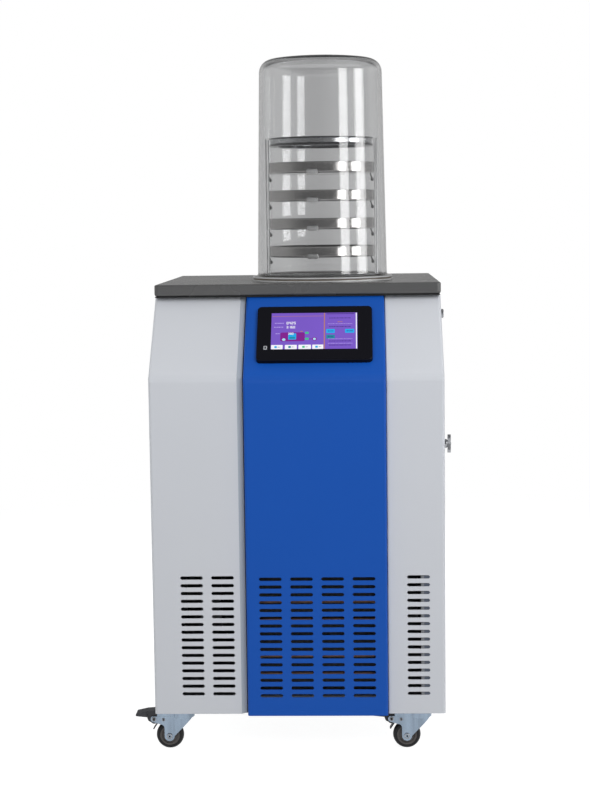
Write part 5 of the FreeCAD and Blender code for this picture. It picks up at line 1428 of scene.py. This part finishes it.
@dataclass
class Studio:
    """Pale floor, soft lamps and the camera."""

    floor_white: float = 0.32
    floor_glow: float = 0.89
    mirrored_floor: float = 0.60
    ambient: float = 0.38
    ambient_tint: Colour = (1.01, 1.0, 0.99)
    lamp_tint: Colour = (0.98, 1.0, 1.045)
    near_wall: float = 0.16
    far_wall: float = 0.47
    ceiling: float = 0.55
    dark_side: float = 0.05
    floor_fade: Point = (0.8, 2.6)
    wall_fade: Point = (-0.92, -0.1)
    side_fade: Point = (0.35, 0.65)
    roof_fade: Point = (0.16, 0.50)
    curtain_light: Point = (0.78, 1.15)
    curtain_folds: float = 9.0
    reach: float = 2.6
    cards: tuple[Card, ...] = (
        Card(43.0, 16.0, 0.80, 1.545, 5.9), Card(77.0, 20.0, 0.80, 1.545, 5.9))
    soft_lamps: tuple[tuple[str, Place, float, float], ...] = (
        ("key", (1.0, -2.3, 1.85), 1.2, 29.0), ("fill", (-0.45, -2.5, 1.15), 1.2, 14.5),
        ("right", (2.5, -0.15, 1.3), 1.2, 18.0), ("left", (-2.5, 0.3, 1.3), 1.2, 20.0),
        ("back", (0.5, 2.7, 1.4), 1.2, 26.0))
    lamp_aim: Place = (0.0, -0.3, 0.5)
    sensor: float = 36.0
    focal: float = 1705.85
    long_side: float = 800.0
    yaw: float = 0.037
    pitch: float = 0.1065
    roll: float = -0.0128
    stand: Vector = field(default_factory=lambda: Vector((0.10808, -3.29051, 0.96181)))

    def build(self) -> None:
        """Make the floor, the world, the lamps and the camera."""
        self.floor()
        self.world()
        self.lamps()
        self.camera()

    def floor(self) -> None:
        """A wide pale floor that keeps the object's shadow."""
        shape = bmesh.new()
        spin_profile(shape, [(0.0, 0.0), (3.0, 0.0), (14.0, 0.0)], Matrix.Identity(4), 96, False)
        piece = finish_mesh("studio_floor", shape)
        material, graph, surface = new_material("studio_floor")
        away = graph.vector("LENGTH", graph.place()).outputs["Value"]
        fade = graph.ramp(away, *self.floor_fade)
        paint = graph.mix(fade, (self.floor_white,) * 3, BLACK)
        path, mirrored = graph.mirrored()
        seen = graph.math("MAXIMUM", path.outputs["Is Camera Ray"],
                          graph.math("MULTIPLY", mirrored, self.mirrored_floor))
        light = graph.math("MULTIPLY", seen, graph.spread(fade, self.floor_glow, 1.0))
        total = graph.node("ShaderNodeAddShader")
        shaders = (graph.node("ShaderNodeBsdfDiffuse", Color=paint),
                   graph.node("ShaderNodeEmission", Color=WHITE, Strength=light))
        for shader, target in zip(shaders, total.inputs):
            graph.feed(shader.outputs[0], target)
        graph.feed(total.outputs[0], surface)
        piece.data.materials.append(material)

    def world(self) -> None:
        """White behind the object, and a soft room for mirrors, glass and the general light."""
        world = bpy.data.worlds.new("studio")
        world.use_nodes = True
        bpy.context.scene.world = world
        graph = Graph(world.node_tree)
        path, mirrored = graph.mirrored()
        camera = path.outputs["Is Camera Ray"]
        soft = graph.mix(mirrored, self.ambient, self.room(graph), Blend.FLOAT)
        shell = graph.node("ShaderNodeBackground",
                           Color=graph.mix(graph.math("MAXIMUM", mirrored, camera),
                                           self.ambient_tint, WHITE),
                           Strength=graph.mix(camera, soft, 1.0, Blend.FLOAT))
        output = graph.node("ShaderNodeOutputWorld")
        graph.feed(shell.outputs[0], output.inputs["Surface"])

    def room(self, graph: Graph) -> Socket:
        """Brightness of the room by direction: pale far wall, dim near wall and ceiling.

        Args:
            graph: The world's graph.

        Returns:
            The brightness socket.
        """
        ray = graph.node("ShaderNodeTexCoord").outputs["Generated"]
        parts = graph.axes(ray)
        wall = graph.ramp(parts["Y"], *self.wall_fade, self.near_wall, self.far_wall)
        sides = graph.ramp(graph.math("ABSOLUTE", parts["X"]), *self.side_fade, self.ceiling,
                           self.dark_side)
        above = graph.mix(graph.ramp(parts["Z"], *self.roof_fade), 1.0, sides, Blend.FLOAT)
        level = graph.vector("MULTIPLY", ray, (1.0, 1.0, 0.0)).outputs[0]
        folds = graph.node("ShaderNodeTexNoise", Vector=level, Scale=self.curtain_folds,
                           Detail=1.0)
        streak = graph.ramp(folds.outputs["Fac"], 0.3, 0.7, *self.curtain_light, "LINEAR")
        return graph.math("MULTIPLY", graph.math("MULTIPLY", wall, above), streak)

    def lamp(self, name: str, place: Place, target: Place, size: Point, power: float,
             mirrors: bool = False) -> None:
        """A rectangular soft lamp.

        Args:
            name: The lamp's name.
            place: Where it stands.
            target: Where it points.
            size: Its width and height.
            power: Its power in watts.
            mirrors: Whether it is a card that only metal and glass show.
        """
        data = bpy.data.lights.new(name, "AREA")
        data.shape = "RECTANGLE"
        data.size, data.size_y = size
        data.energy = power
        if not mirrors:
            data.color = self.lamp_tint
        lamp = bpy.data.objects.new(name, data)
        lamp.location = place
        aim = Vector(target) - Vector(place)
        lamp.rotation_euler = aim.to_track_quat("-Z", "Y").to_euler()
        lamp.visible_transmission = mirrors
        lamp.visible_glossy = mirrors
        lamp.visible_diffuse = not mirrors
        bpy.context.scene.collection.objects.link(lamp)

    def lamps(self) -> None:
        """Soft lamps round the object, and tall cards that only the bell and metal show."""
        for name, place, size, power in self.soft_lamps:
            self.lamp(name, place, self.lamp_aim, (size, size), power)
        bell = middle("bell_jar")
        for card in self.cards:
            angle = math.radians(card.turn)
            level = (card.low + card.high) / 2
            place = (bell.x + self.reach * math.sin(angle),
                     bell.y - self.reach * math.cos(angle), level)
            width = 2 * self.reach * math.tan(math.radians(card.spread / 2))
            tall = card.high - card.low
            self.lamp(f"card_{int(card.turn)}", place, (bell.x, bell.y, level), (width, tall),
                      card.glow * math.pi * width * tall, mirrors=True)

    def camera(self) -> None:
        """A camera at a standing person's distance, a little above the worktop."""
        ahead = Vector((-math.sin(self.yaw) * math.cos(self.pitch),
                        math.cos(self.yaw) * math.cos(self.pitch), -math.sin(self.pitch)))
        right = Vector((math.cos(self.yaw), math.sin(self.yaw), 0.0))
        up = right.cross(ahead)
        turned = math.cos(self.roll) * right + math.sin(self.roll) * up
        above = -math.sin(self.roll) * right + math.cos(self.roll) * up
        axes = Matrix((turned, above, -ahead)).transposed()
        data = bpy.data.cameras.new("camera")
        data.sensor_width = self.sensor
        data.lens = self.focal * self.sensor / self.long_side
        data.clip_end = 100.0
        camera = bpy.data.objects.new("camera", data)
        camera.matrix_world = Matrix.Translation(self.stand) @ axes.to_4x4()
        bpy.context.scene.collection.objects.link(camera)
        bpy.context.scene.camera = camera
        bpy.context.scene.view_settings.view_transform = "Standard"


def main() -> None:
    """Build every sub-assembly on the frame."""
    logging.basicConfig(level=logging.INFO, format="%(name)s: %(message)s")
    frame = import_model()
    palette = Palette(frame)
    makers: tuple[type[Assembly], ...] = (BellJar, TrayRack, Display, Cabinet, Casters)
    for maker in makers:
        assembly = maker(palette)
        assembly.build()
        for piece in assembly.pieces:
            LOG.info("%s: %s, %d faces", maker.__name__, piece.name, len(piece.data.polygons))
    Studio().build()


if __name__ == "__main__":
    main()
